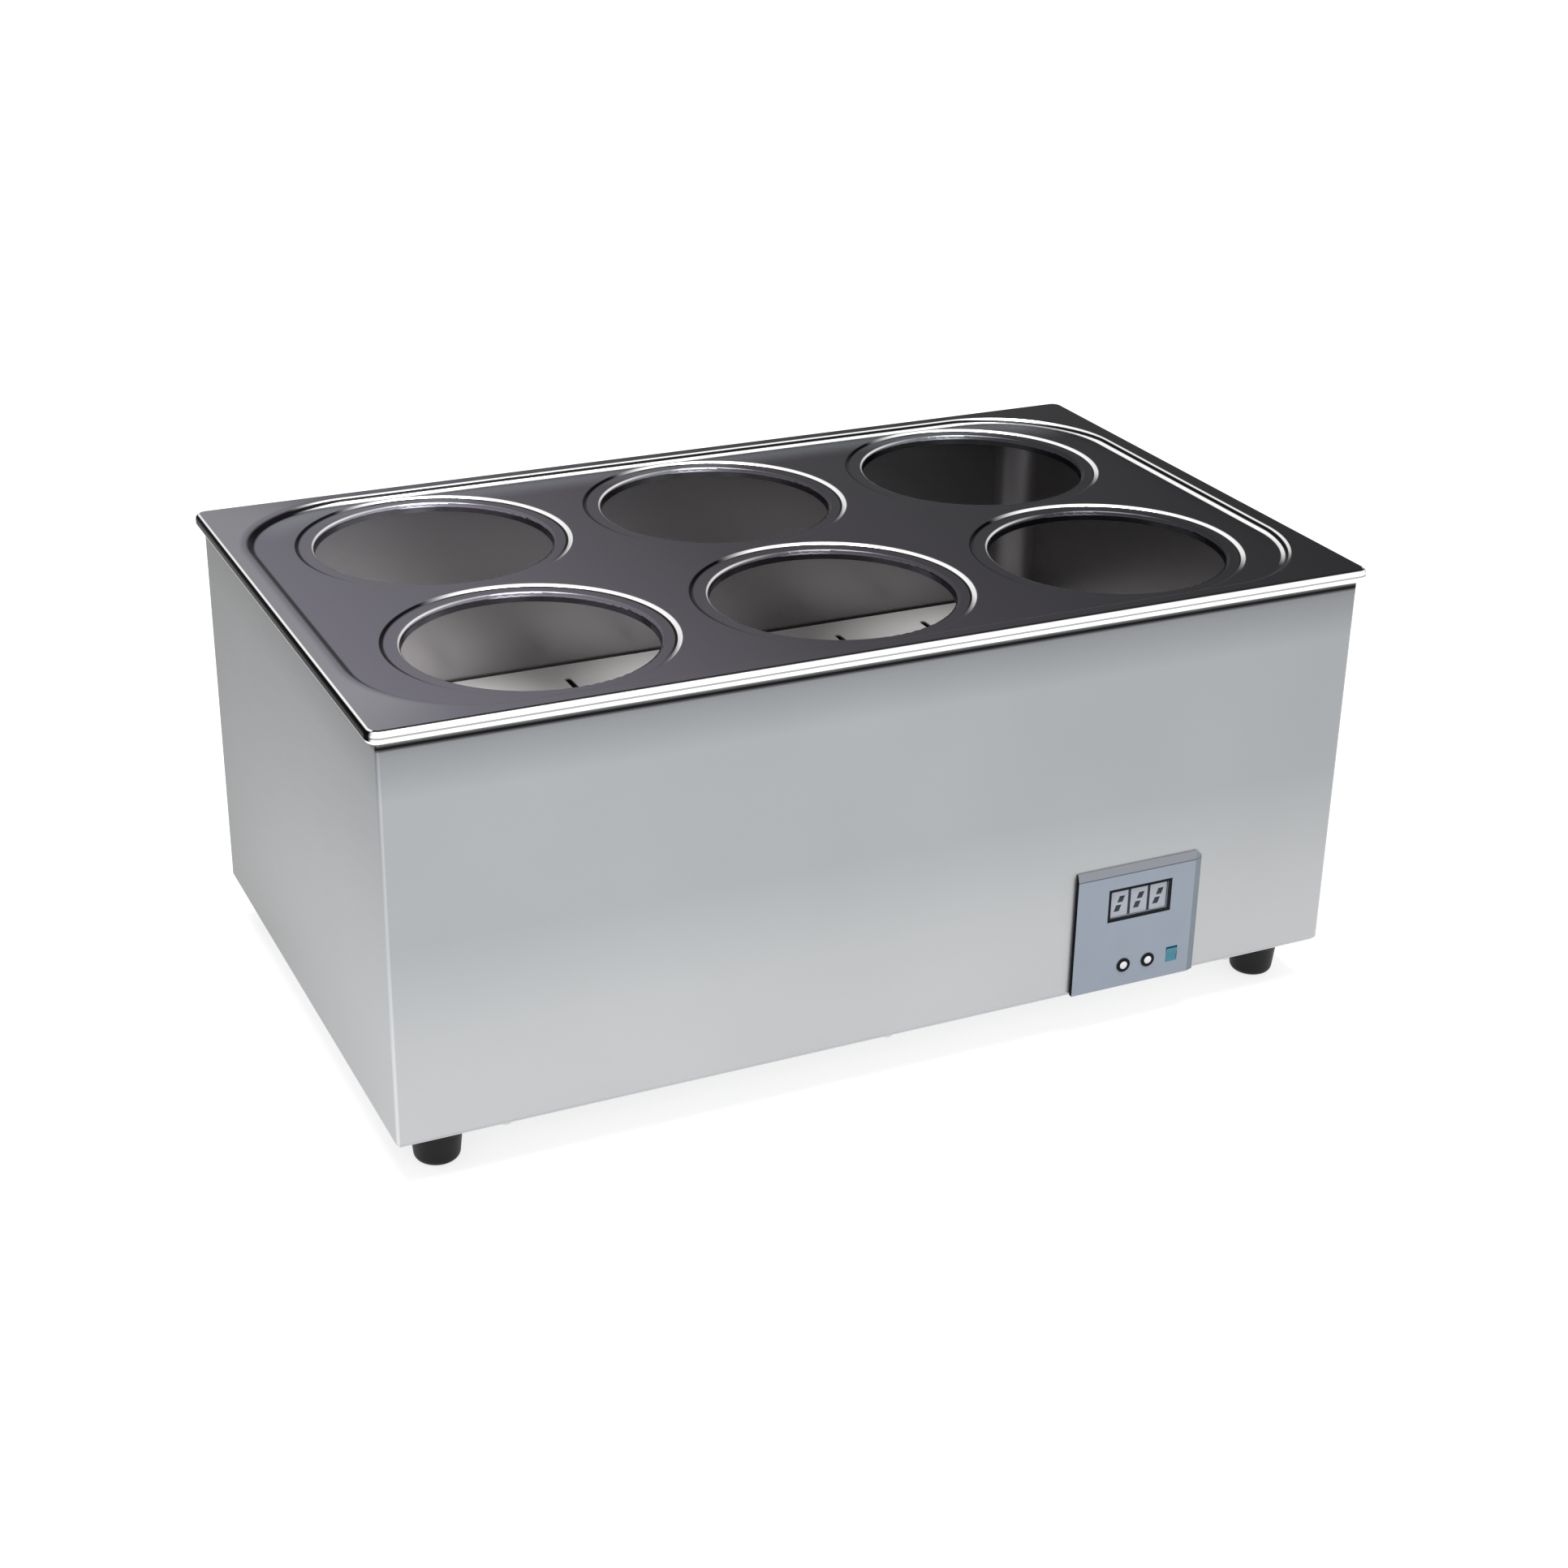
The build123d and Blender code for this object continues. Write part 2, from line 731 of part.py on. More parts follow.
# Temperature probe: a closed tube through its own gland in the floor
probe_low_z = tank_under_z - probe_tail
with BuildPart() as sensor_probe:
    with Locations((probe_x, 0, probe_low_z)):
        Cylinder(probe_radius, probe_tail + tank_sheet + probe_rise, align=ON_TOP)
    fillet(sensor_probe.edges().group_by(Axis.Z)[-1], probe_tip_round)
save(sensor_probe.part, "sensor_probe")

with BuildPart() as sensor_gland:
    with Locations((probe_x, 0, gland_z)):
        add(gland(probe_radius))
save(sensor_gland.part, "sensor_gland")

with BuildPart() as sensor_seal:
    with Locations((probe_x, 0, tank_floor_z)):
        add(washer(gland_radius, probe_radius + sleeve_wall + clearance, gland_seal))
save(sensor_seal.part, "sensor_seal")

with BuildPart() as sensor_nut:
    with Locations((probe_x, 0, nut_z)):
        add(hex_ring(gland_radius, probe_radius + sleeve_wall + clearance, nut_height))
save(sensor_nut.part, "sensor_nut")

# Drain: a nipple from the tank's back wall to the casing's, closed by a coin-slot plug
nipple_start = tank_outer_y
nipple_end = casing_y + drain_proud
seal_end = nipple_end + plug_seal_thickness
plug_radius = drain_bore_radius - plug_clearance


def facing_back(x, y, z):
    """A place on the back whose own Z points out of the casing."""
    return Location(Plane(origin=(x, y, z), x_dir=(-1, 0, 0), z_dir=(0, 1, 0)))


def facing_front(x, y, z):
    """A place on the front whose own Z points out of the casing."""
    return Location(Plane(origin=(x, y, z), x_dir=(1, 0, 0), z_dir=(0, -1, 0)))


with BuildPart() as drain_nipple:
    with Locations(facing_back(drain_x, nipple_start, drain_z)):
        Cylinder(drain_radius, nipple_end - nipple_start, align=ON_TOP)
        Cylinder(drain_bore_radius, nipple_end - nipple_start, align=ON_TOP, mode=Mode.SUBTRACT)
save(drain_nipple.part, "drain_nipple")

grommet_bore = drain_radius + clearance
grommet_outer = drain_radius + grommet_wall - clearance
grommet_span = casing_sheet + 2 * grommet_thickness
with BuildPart() as drain_grommet:
    with Locations(facing_back(drain_x, casing_y + grommet_thickness, drain_z)):
        Cylinder(grommet_outer, grommet_span, align=BELOW)
        Cylinder(grommet_outer + grommet_lip, grommet_thickness, align=BELOW)
    with Locations(facing_back(drain_x, casing_y - casing_sheet, drain_z)):
        Cylinder(grommet_outer + grommet_lip, grommet_thickness, align=BELOW)
    with Locations(facing_back(drain_x, casing_y, drain_z)):
        Cylinder(grommet_bore, 3 * grommet_span, mode=Mode.SUBTRACT)
save(drain_grommet.part, "drain_grommet")

with BuildPart() as drain_plug:
    with Locations(facing_back(drain_x, seal_end, drain_z)):
        Cylinder(plug_head_radius, plug_head, align=ON_TOP)
        Cylinder(plug_radius, plug_shank, align=BELOW)
    fillet(drain_plug.edges().group_by(Axis.Y)[-1], plug_edge)
    with Locations(facing_back(drain_x, seal_end + plug_head, drain_z)):
        Box(3 * plug_head_radius, plug_slot, plug_slot, align=BELOW, mode=Mode.SUBTRACT)
save(drain_plug.part, "drain_plug")

with BuildPart() as plug_seal:
    with Locations(facing_back(drain_x, nipple_end, drain_z)):
        add(washer(drain_radius - clearance, drain_bore_radius, plug_seal_thickness))
save(plug_seal.part, "plug_seal")

# Control fascia: a moulded plate with bevelled top and right edges, studs and bosses
fascia_left = fascia_x - fascia_width / 2
fascia_front = casing_y + fascia_thickness
switch_body = control_board_depth - button_skirt_thickness - button_travel - switch_gap
display_width = fascia_width - display_from_left - display_from_right
display_x = fascia_left + display_from_left + display_width / 2
display_z = fascia_top - display_from_top - display_height / 2
aperture = (display_width - 2 * display_frame, display_height - 2 * display_frame)
rocker_place = (fascia_x + fascia_width / 2 - rocker_from_right, base_z + rocker_z)
button_points = [(rocker_place[0] - steps * button_pitch, base_z + button_z) for steps in (2, 1)]
boss_half_x = window_size[0] / 2 - boss_inset
boss_levels = (base_z + boss_from_bottom, fascia_top - boss_from_top)
boss_points = [(fascia_x + side * boss_half_x, level) for side in (-1, 1) for level in boss_levels]
small_hole = small_screw_radius + clearance
rocker_hole = (rocker_width + 2 * rocker_side_gap, rocker_height + 2 * rocker_swing_gap)

with BuildPart() as control_fascia:
    with BuildSketch(front):
        with Locations((fascia_x, fascia_mid_z)):
            Rectangle(fascia_width, fascia_height)
    extrude(amount=fascia_thickness)
    upright_edges = control_fascia.edges().filter_by(Axis.Y)
    top_right_edge = upright_edges.sort_by(lambda edge: edge.center().X + edge.center().Z)[-1]
    chamfer(top_right_edge, fascia_corner_cut)
    outer_face = control_fascia.faces().sort_by(Axis.Y)[0]
    low_edges = outer_face.edges().group_by(Axis.Z)[0] + outer_face.edges().group_by(Axis.X)[0]
    bevel_edges = [edge for edge in outer_face.edges() if edge not in low_edges]
    chamfer(bevel_edges, fascia_bevel_width, fascia_bevel, reference=outer_face)
    with BuildSketch(front):
        with Locations((display_x, display_z)):
            Rectangle(*aperture)
        with Locations(*button_points):
            Circle(button_radius + button_clearance)
        with Locations(rocker_place):
            Rectangle(*rocker_hole)
    extrude(amount=fascia_thickness, mode=Mode.SUBTRACT)
    with BuildSketch(Plane.XZ.offset(fascia_front)):
        with Locations((display_x, display_z)):
            Rectangle(display_width, display_height)
    extrude(amount=-window_thickness, mode=Mode.SUBTRACT)
    with BuildSketch(front):
        with Locations(*stud_points):
            Circle(fascia_stud_radius)
    extrude(amount=-fascia_stud_length)
    with BuildSketch(front):
        with Locations(*boss_points):
            Circle(boss_radius)
            Circle(small_hole, mode=Mode.SUBTRACT)
    extrude(amount=-control_board_depth)
save(control_fascia.part, "control_fascia")

with BuildPart() as fascia_clips:
    with Locations(*[facing_front(x, casing_sheet - casing_y, z) for x, z in stud_points]):
        Cylinder(clip_radius, clip_thickness, align=BELOW)
        Cylinder(fascia_stud_radius + clearance / 2, 3 * clip_thickness, mode=Mode.SUBTRACT)
save(fascia_clips.part, "fascia_clips")

# Display: a window set into the fascia over a three-digit module
with BuildPart() as display_window:
    with BuildSketch(Plane.XZ.offset(fascia_front)):
        with Locations((display_x, display_z)):
            Rectangle(display_width - 2 * window_clearance, display_height - 2 * window_clearance)
    extrude(amount=-window_thickness)
save(display_window.part, "display_window")

module_front = fascia_front - window_thickness - module_gap
module_width = aperture[0] - 2 * window_clearance
module_height = aperture[1] - 2 * window_clearance
digit_width = (module_width - (digit_count + 1) * digit_gap) / digit_count
with BuildPart() as display_module:
    with BuildSketch(Plane.XZ.offset(module_front - digit_relief)):
        with Locations((display_x, display_z)):
            Rectangle(module_width, module_height)
    extrude(amount=digit_relief - module_front + casing_y - control_board_depth)
    with BuildSketch(Plane.XZ.offset(module_front)):
        with Locations((display_x, display_z)):
            with GridLocations(digit_width + digit_gap, 0, digit_count, 1):
                Rectangle(digit_width, module_height - 2 * digit_gap)
    extrude(amount=-digit_relief)
save(display_module.part, "display_module")


def push_button():
    """A button whose Z points out of the fascia, with z = 0 at the fascia's back face."""
    cap_top = fascia_thickness + button_proud
    stem_low = switch_body - control_board_depth - switch_entry
    dome_radius = (button_radius**2 + button_dome**2) / (2 * button_dome)
    with BuildPart() as made:
        Cylinder(button_radius, cap_top, align=ON_TOP)
        Cylinder(button_radius + button_skirt, button_skirt_thickness, align=BELOW)
        Cylinder(button_stem_radius, -stem_low, align=BELOW)
        with Locations((0, 0, cap_top - dome_radius)):
            Sphere(dome_radius, mode=Mode.INTERSECT)
    return made.part


for button_name, (x, z) in zip(("set_button", "shift_button"), button_points):
    with BuildPart() as button:
        with Locations(facing_front(x, -casing_y, z)):
            add(push_button())
    save(button.part, button_name)

with BuildPart() as button_bezels:
    with Locations(*[facing_front(x, -fascia_front, z) for x, z in button_points]):
        add(washer(bezel_radius, button_radius + button_clearance, bezel_proud))
save(button_bezels.part, "button_bezels")

board_front = control_board_depth - casing_y
with BuildPart() as button_switches:
    with Locations(*[facing_front(x, board_front, z) for x, z in button_points]):
        Box(switch_side, switch_side, switch_body, align=ON_TOP)
        Cylinder(button_stem_radius + button_clearance, 3 * switch_body, mode=Mode.SUBTRACT)
save(button_switches.part, "button_switches")

# Power rocker: a dished paddle on two short pins, held in a box on the board
pivot_y = rocker_pivot_depth - fascia_front
front_reach = rocker_pivot_depth + rocker_proud
half_rocker = rocker_height / 2
pin_length = rocker_side_gap + rocker_pin_grip
with BuildPart() as rocker_shape:
    with BuildSketch(Plane.YZ.offset(-rocker_width / 2)):
        with BuildLine():
            ThreePointArc(
                (-front_reach, half_rocker),
                (rocker_dish - front_reach, 0),
                (-front_reach, -half_rocker),
            )
            Polyline(
                (-front_reach, -half_rocker),
                (0, rocker_taper - half_rocker),
                (rocker_body_depth, -rocker_heel),
                (rocker_body_depth, rocker_heel),
                (0, half_rocker - rocker_taper),
                (-front_reach, half_rocker),
            )
        make_face()
    extrude(amount=rocker_width)
    with BuildSketch(Plane.YZ.offset(-rocker_width / 2 - pin_length)):
        Circle(rocker_pin_radius)
    extrude(amount=rocker_width + 2 * pin_length)

with BuildPart() as power_rocker:
    with Locations(Location((rocker_place[0], pivot_y, rocker_place[1]), (rocker_tilt, 0, 0))):
        add(rocker_shape.part)
save(power_rocker.part, "power_rocker")

well_depth = rocker_pivot_depth - fascia_thickness + rocker_body_depth + rocker_well_gap
with BuildPart() as rocker_housing:
    with BuildSketch(front):
        with Locations(rocker_place):
            Rectangle(rocker_hole[0] + 2 * rocker_box_wall, rocker_hole[1] + 2 * rocker_box_wall)
    extrude(amount=-control_board_depth)
    with BuildSketch(front):
        with Locations(rocker_place):
            Rectangle(*rocker_hole)
    extrude(amount=-well_depth, mode=Mode.SUBTRACT)
    with BuildSketch(Plane.YZ.offset(rocker_place[0] - rocker_width)):
        with Locations((pivot_y, rocker_place[1])):
            Circle(rocker_pin_radius + rocker_pin_clearance)
    extrude(amount=2 * rocker_width, mode=Mode.SUBTRACT)
save(rocker_housing.part, "rocker_housing")

with BuildPart() as control_board:
    with BuildSketch(Plane.XZ.offset(-board_front)):
        with Locations((fascia_x, fascia_mid_z + border_mid)):
            Rectangle(window_size[0] - 2 * board_edge_gap, window_size[1] - 2 * board_edge_gap)
        with Locations(*boss_points):
            Circle(small_hole, mode=Mode.SUBTRACT)
    extrude(amount=-board_thickness)
save(control_board.part, "control_board")

with BuildPart() as control_board_screws:
    with Locations(*[facing_back(x, board_front + board_thickness, z) for x, z in boss_points]):
        add(screw(small_screw_radius, small_screw_length, small_screw_head_radius, small_screw_head))
save(control_board_screws.part, "control_board_screws")

# Power board on four standoffs that clinch into the base plate
power_board_z = base_z + standoff_height
on_board_z = power_board_z + board_thickness
with BuildPart() as board_standoffs:
    with Locations(*[(x, y, base_z) for x, y in standoff_points]):
        add(hex_ring(standoff_radius, small_hole, standoff_height))
        Cylinder(screw_radius, base_sheet, align=BELOW)
save(board_standoffs.part, "board_standoffs")

with BuildPart() as power_board:
    with BuildSketch(Plane.XY.offset(power_board_z)):
        with Locations((board_x, board_y)):
            Rectangle(power_board_width, power_board_depth)
        with Locations(*standoff_points):
            Circle(small_hole, mode=Mode.SUBTRACT)
    extrude(amount=board_thickness)
save(power_board.part, "power_board")

with BuildPart() as power_board_screws:
    with Locations(*[(x, y, on_board_z) for x, y in standoff_points]):
        add(screw(small_screw_radius, small_screw_length, small_screw_head_radius, small_screw_head))
save(power_board_screws.part, "power_board_screws")

row_y = board_y - terminal_depth / 2
transformer_x = board_x - power_board_width / 2 + standoff_inset + part_gap + transformer_width / 2
relay_x = board_x + power_board_width / 2 - standoff_inset - part_gap - relay_width / 2
terminal_y = board_y + power_board_depth / 2 - terminal_depth / 2 - clearance
with BuildPart() as transformer_core:
    with Locations((transformer_x, row_y, on_board_z)):
        Box(transformer_width, transformer_stack, transformer_height, align=ON_TOP)
save(transformer_core.part, "transformer_core")

coil_overhang = (transformer_depth - transformer_stack) / 2
with BuildPart() as transformer_coils:
    with Locations((transformer_x, row_y, on_board_z + coil_lift)):
        with GridLocations(0, transformer_stack + coil_overhang, 1, 2):
            Box(coil_width, coil_overhang, transformer_height - 2 * coil_lift, align=ON_TOP)
    outer_coil_faces = transformer_coils.faces().group_by(Axis.Y)
    fillet(outer_coil_faces[0].edges().filter_by(Axis.Z), coil_round)
    fillet(outer_coil_faces[-1].edges().filter_by(Axis.Z), coil_round)
save(transformer_coils.part, "transformer_coils")

with BuildPart() as relay:
    with Locations((relay_x, row_y, on_board_z)):
        Box(relay_width, relay_depth, relay_height, align=ON_TOP)
    fillet(relay.edges().filter_by(Axis.Z), relay_edge)
save(relay.part, "relay")

terminal_pitch = terminal_width / terminal_ways
with BuildPart() as terminal_block:
    with Locations((board_x, terminal_y, on_board_z)):
        Box(terminal_width, terminal_depth, terminal_height, align=ON_TOP)
    with BuildSketch(Plane.XY.offset(on_board_z + terminal_height)):
        with Locations((board_x, terminal_y)):
            with GridLocations(terminal_pitch, 0, terminal_ways, 1):
                Circle(terminal_screw_radius)
    extrude(amount=-terminal_screw_depth, mode=Mode.SUBTRACT)
save(terminal_block.part, "terminal_block")

# Mains inlet: flange outside the back, body and three blades inside
flange_face = casing_y + inlet_flange
blade_out = flange_face - inlet_mouth_depth + pin_length
blade_in = casing_y - inlet_body_depth - pin_tab_length
line_level = inlet_level - pin_drop
blade_points = [
    (inlet_x - pin_pitch / 2, line_level),
    (inlet_x + pin_pitch / 2, line_level),
    (inlet_x, line_level + pin_offset),
]
with BuildPart() as mains_inlet:
    with BuildSketch(back):
        with Locations((inlet_x, inlet_level)):
            RectangleRounded(inlet_flange_width, inlet_flange_height, inlet_edge)
    extrude(amount=-inlet_flange)
    with BuildSketch(back):
        with Locations((inlet_x, inlet_level)):
            Rectangle(inlet_body_width, inlet_body_height)
    extrude(amount=inlet_body_depth)
    with BuildSketch(Plane.XZ.offset(-flange_face)):
        with Locations((inlet_x, inlet_level)):
            mouth = Rectangle(inlet_mouth_width, inlet_mouth_height)
            chamfer(mouth.vertices().group_by(Axis.Y)[-1], inlet_mouth_chamfer)
    extrude(amount=inlet_mouth_depth, mode=Mode.SUBTRACT)
    with BuildSketch(Plane.XZ.offset(inlet_body_depth - casing_y)):
        with Locations(*blade_points):
            Rectangle(pin_width, pin_height)
    extrude(amount=-inlet_body_depth, mode=Mode.SUBTRACT)
    with Locations(*[facing_back(x, flange_face, z) for x, z in inlet_screw_points]):
        CounterSinkHole(screw_hole, screw_head_radius + clearance, depth=2 * inlet_flange)
save(mains_inlet.part, "mains_inlet")

with BuildPart() as inlet_blades:
    with BuildSketch(Plane.XZ.offset(-blade_out)):
        with Locations(*blade_points):
            Rectangle(pin_width, pin_height)
    extrude(amount=blade_out - blade_in)
save(inlet_blades.part, "inlet_blades")

inlet_grip = inlet_flange + casing_sheet + nut_height
with BuildPart() as inlet_screws:
    with Locations(*[facing_back(x, flange_face, z) for x, z in inlet_screw_points]):
        Cylinder(screw_radius, inlet_grip, align=BELOW)
        cone_depth = screw_head_radius - screw_radius
        Cone(screw_radius, screw_head_radius, cone_depth, align=BELOW)
save(inlet_screws.part, "inlet_screws")

with BuildPart() as inlet_nuts:
    nut_y = casing_y - casing_sheet - nut_height
    with Locations(*[facing_back(x, nut_y, z) for x, z in inlet_screw_points]):
        add(hex_ring(nut_radius, screw_hole, nut_height))
save(inlet_nuts.part, "inlet_nuts")

# Earth: a stud welded to the base plate beside the inlet, with its nut
earth_x = inlet_x - inlet_flange_width
earth_y = casing_y - inlet_flange_width
with BuildPart() as earth_stud:
    with Locations((earth_x, earth_y, base_z)):
        Cylinder(earth_stud_radius, earth_stud_length, align=ON_TOP)
save(earth_stud.part, "earth_stud")

with BuildPart() as earth_nut:
    with Locations((earth_x, earth_y, base_z)):
        add(hex_ring(nut_radius, earth_stud_radius + clearance, nut_height))
save(earth_nut.part, "earth_nut")
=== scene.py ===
# %% [markdown]
# # A bench water bath
#
# The bath's sheet metal, tank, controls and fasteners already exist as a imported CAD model.
# This lesson dresses that model: it gives every surface its finish, adds the digits behind
# the display's window, and sets up a plain studio. The CAD pieces are never moved, because
# other tools rely on where they are.

import json
import math

import bpy
import numpy as np
from mathutils import Matrix, Vector


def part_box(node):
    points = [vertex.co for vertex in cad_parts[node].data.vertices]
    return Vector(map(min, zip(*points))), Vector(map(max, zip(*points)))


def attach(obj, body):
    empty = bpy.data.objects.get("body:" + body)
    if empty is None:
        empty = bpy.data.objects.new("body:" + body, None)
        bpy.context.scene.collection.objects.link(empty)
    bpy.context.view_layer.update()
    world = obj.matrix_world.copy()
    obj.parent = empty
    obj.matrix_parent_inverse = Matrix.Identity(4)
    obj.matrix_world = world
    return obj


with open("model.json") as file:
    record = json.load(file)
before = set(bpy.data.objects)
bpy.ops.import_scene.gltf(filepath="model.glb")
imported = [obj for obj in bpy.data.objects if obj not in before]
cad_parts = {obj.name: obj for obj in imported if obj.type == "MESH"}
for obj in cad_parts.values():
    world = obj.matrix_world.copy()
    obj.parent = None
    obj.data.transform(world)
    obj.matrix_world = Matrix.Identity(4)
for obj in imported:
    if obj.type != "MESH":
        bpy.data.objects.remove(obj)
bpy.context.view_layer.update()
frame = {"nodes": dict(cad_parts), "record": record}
nodes = frame["nodes"]

# %% [markdown]
# ## Measures taken from the model
#
# Most of what follows is placed by the model's own pieces. A node's box gives its lowest
# and highest corner in metres, so a finish that follows the casing's height, or a digit
# that sits in the display, moves with the model if its sizes change. Only the cover's
# stamped outlines are written out as numbers, where the cover is dressed.

# %% Read the places that the finishes need
MM = 0.001
casing_low, casing_high = (Vector(corner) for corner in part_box("casing"))
cover_low, cover_high = (Vector(corner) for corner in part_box("cover"))
window_low, window_high = (Vector(corner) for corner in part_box("display_window"))
module_low, module_high = (Vector(corner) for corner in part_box("display_module"))
fascia_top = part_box("control_fascia")[1][2]
print("casing height in mm:", round((casing_high.z - casing_low.z) / MM, 1))

# %% [markdown]
# ## A small shorthand for node trees
#
# A material is a graph, and writing it link by link hides the idea. `Graph` adds a node,
# sets its plain values and links its inputs in one call, so that a finish reads as a list
# of steps: sums, rescaled numbers, ramps and mixes.


# %% Define the graph shorthand
class Graph:
    """Adds nodes to one tree: values are set, sockets are linked."""

    def __init__(self, tree):
        self.tree = tree
        self.column = 0

    def add(self, kind, settings=None, **inputs):
        """One node. Input names use _ for a space, and a number picks an input by index."""
        node = self.tree.nodes.new(kind)
        self.column += 1
        node.location = (self.column * 190, (self.column % 4) * -170)
        for key, value in (settings or {}).items():
            setattr(node, key, value)
        for key, value in inputs.items():
            by_index = key[0] == "i" and key[1:].isdigit()
            socket = node.inputs[int(key[1:]) if by_index else key.replace("_", " ")]
            if isinstance(value, bpy.types.NodeSocket):
                self.tree.links.new(value, socket)
            else:
                socket.default_value = value
        return node

    def link(self, value, node, label):
        """One link, from a socket to a node's input."""
        self.tree.links.new(value, node.inputs[label])

    def axes(self, kind="Object"):
        """The X, Y and Z of a point's place, or of its normal."""
        return self.add("ShaderNodeSeparateXYZ", Vector=self.add("ShaderNodeTexCoord").outputs[kind]).outputs

    def math(self, operation, *values):
        """One sum, product or comparison, as a socket."""
        inputs = {f"i{index}": value for index, value in enumerate(values)}
        return self.add("ShaderNodeMath", {"operation": operation}, **inputs).outputs[0]

    def vector(self, operation, first, second=(0.0, 0.0, 0.0)):
        """One vector sum, as two sockets: the first gives a vector, the second a number."""
        node = self.add("ShaderNodeVectorMath", {"operation": operation}, i0=first, i1=second)
        return node.outputs[0], node.outputs[1]

    def scale(self, vector, amount):
        """A vector or a colour, times a number."""
        return self.add("ShaderNodeVectorMath", {"operation": "SCALE"}, i0=vector, Scale=amount).outputs[0]

    def rescale(self, value, low=0.0, high=1.0, first=0.0, last=1.0, kind="LINEAR"):
        """A number moved from one range to another, and held inside the second."""
        ends = {"From_Min": low, "From_Max": high, "To_Min": first, "To_Max": last}
        return self.add("ShaderNodeMapRange", {"interpolation_type": kind}, Value=value, **ends).outputs[0]

    def ramp(self, value, stops):
        """A colour ramp over (position, colour) stops, as its colour socket."""
        node = self.add("ShaderNodeValToRGB", i0=value)
        elements = node.color_ramp.elements
        while len(elements) < len(stops):
            elements.new(1.0)
        for element, (position, colour) in zip(elements, stops):
            element.position = position
            element.color = (*colour, 1.0)
        return node.outputs["Color"]

    def mix(self, amount, first, second, blend="MIX"):
        """A colour between two, by an amount from 0 to 1."""
        node = self.tree.nodes.new("ShaderNodeMix")
        node.data_type = "RGBA"
        node.blend_type = blend
        self.column += 1
        node.location = (self.column * 190, 0)
        for index, value in ((0, amount), (6, first), (7, second)):
            if isinstance(value, bpy.types.NodeSocket):
                self.tree.links.new(value, node.inputs[index])
            else:
                node.inputs[index].default_value = (*value, 1.0) if index > 5 else value
        return node.outputs[2]


def new_group(name, inputs, outputs):
    """An empty shader node group with named number inputs and typed outputs."""
    group = bpy.data.node_groups.new(name, "ShaderNodeTree")
    for label, value in inputs.items():
        socket = group.interface.new_socket(label, in_out="INPUT", socket_type="NodeSocketFloat")
        socket.default_value = value
    for label, kind in outputs.items():
        group.interface.new_socket(label, in_out="OUTPUT", socket_type=kind)
    graph = Graph(group)
    return group, graph, graph.add("NodeGroupInput"), graph.add("NodeGroupOutput")


print("graph shorthand ready")

# %% [markdown]
# ## Grain of rolled and brushed sheet
#
# Sheet steel shows fine parallel lines that scatter light across them. The lines are one
# noise texture, stretched: its coordinates are multiplied by a small number along the
# grain and a large one across it. The same group serves every metal here, each with its
# own direction. It gives the grain, which also serves as a height for a Bump node, and
# broad clouds, both from 0 to 1.

# %% Build the grain group
grain_group, g, ins, outs = new_group(
    "sheet_grain",
    {"Scale X": 40.0, "Scale Y": 40.0, "Scale Z": 4000.0, "Cloud Scale": 9.0},
    {"Grain": "NodeSocketFloat", "Clouds": "NodeSocketFloat"},
)
place = g.add("ShaderNodeTexCoord").outputs["Object"]
stretch = g.add(
    "ShaderNodeCombineXYZ", X=ins.outputs["Scale X"], Y=ins.outputs["Scale Y"], Z=ins.outputs["Scale Z"]
)
stretched = g.vector("MULTIPLY", place, stretch.outputs[0])[0]
lines = g.add("ShaderNodeTexNoise", Vector=stretched, Scale=1.0, Detail=3.0, Roughness=0.65)
clouds = g.add("ShaderNodeTexNoise", Vector=place, Scale=ins.outputs["Cloud Scale"], Detail=2.0)
g.link(lines.outputs["Fac"], outs, "Grain")
g.link(clouds.outputs["Fac"], outs, "Clouds")
print("group:", grain_group.name)

# %% [markdown]
# ## Skin of moulded parts
#
# Moulded plastic and rubber aren't mirror smooth: the mould's spark-eroded steel leaves a
# fine pebble, and hands leave broad patches that are a little glossier. One group gives
# both, the pebble as a height and the patches as a mask.

# %% Build the moulded skin group
skin_group, g, ins, outs = new_group(
    "moulded_skin",
    {"Pebble Scale": 2500.0, "Patch Scale": 40.0},
    {"Pebble": "NodeSocketFloat", "Patches": "NodeSocketFloat"},
)
place = g.add("ShaderNodeTexCoord").outputs["Object"]
pebble = g.add("ShaderNodeTexNoise", Vector=place, Scale=ins.outputs["Pebble Scale"], Detail=1.0)
patches = g.add("ShaderNodeTexNoise", Vector=place, Scale=ins.outputs["Patch Scale"], Detail=3.0)
g.link(pebble.outputs["Fac"], outs, "Pebble")
g.link(patches.outputs["Fac"], outs, "Patches")
print("group:", skin_group.name)


# %% [markdown]
# ## Starting a material
#
# Each finish starts from a Principled BSDF whose constant values are set on its own
# sockets. Only what changes over the surface is linked: colour, roughness and the normal.


# %% Define the material starters
def start(name, **values):
    """A new material: its graph and its Principled BSDF, with plain values set."""
    material = bpy.data.materials.new(name)
    material.use_nodes = True
    graph = Graph(material.node_tree)
    shader = material.node_tree.nodes["Principled BSDF"]
    for key, value in values.items():
        shader.inputs[key.replace("_", " ")].default_value = value
    return material, graph, shader


def use_group(graph, group, **inputs):
    """One of the groups above, placed in a material."""
    node = graph.add("ShaderNodeGroup", {"node_tree": group})
    for key, value in inputs.items():
        node.inputs[key.replace("_", " ")].default_value = value
    return node


def link_bump(graph, shader, height, strength, distance):
    """A height, through a Bump node, into the shader's normal."""
    bump = graph.add("ShaderNodeBump", Height=height, Strength=strength, Distance=distance)
    graph.link(bump.outputs[0], shader, "Normal")


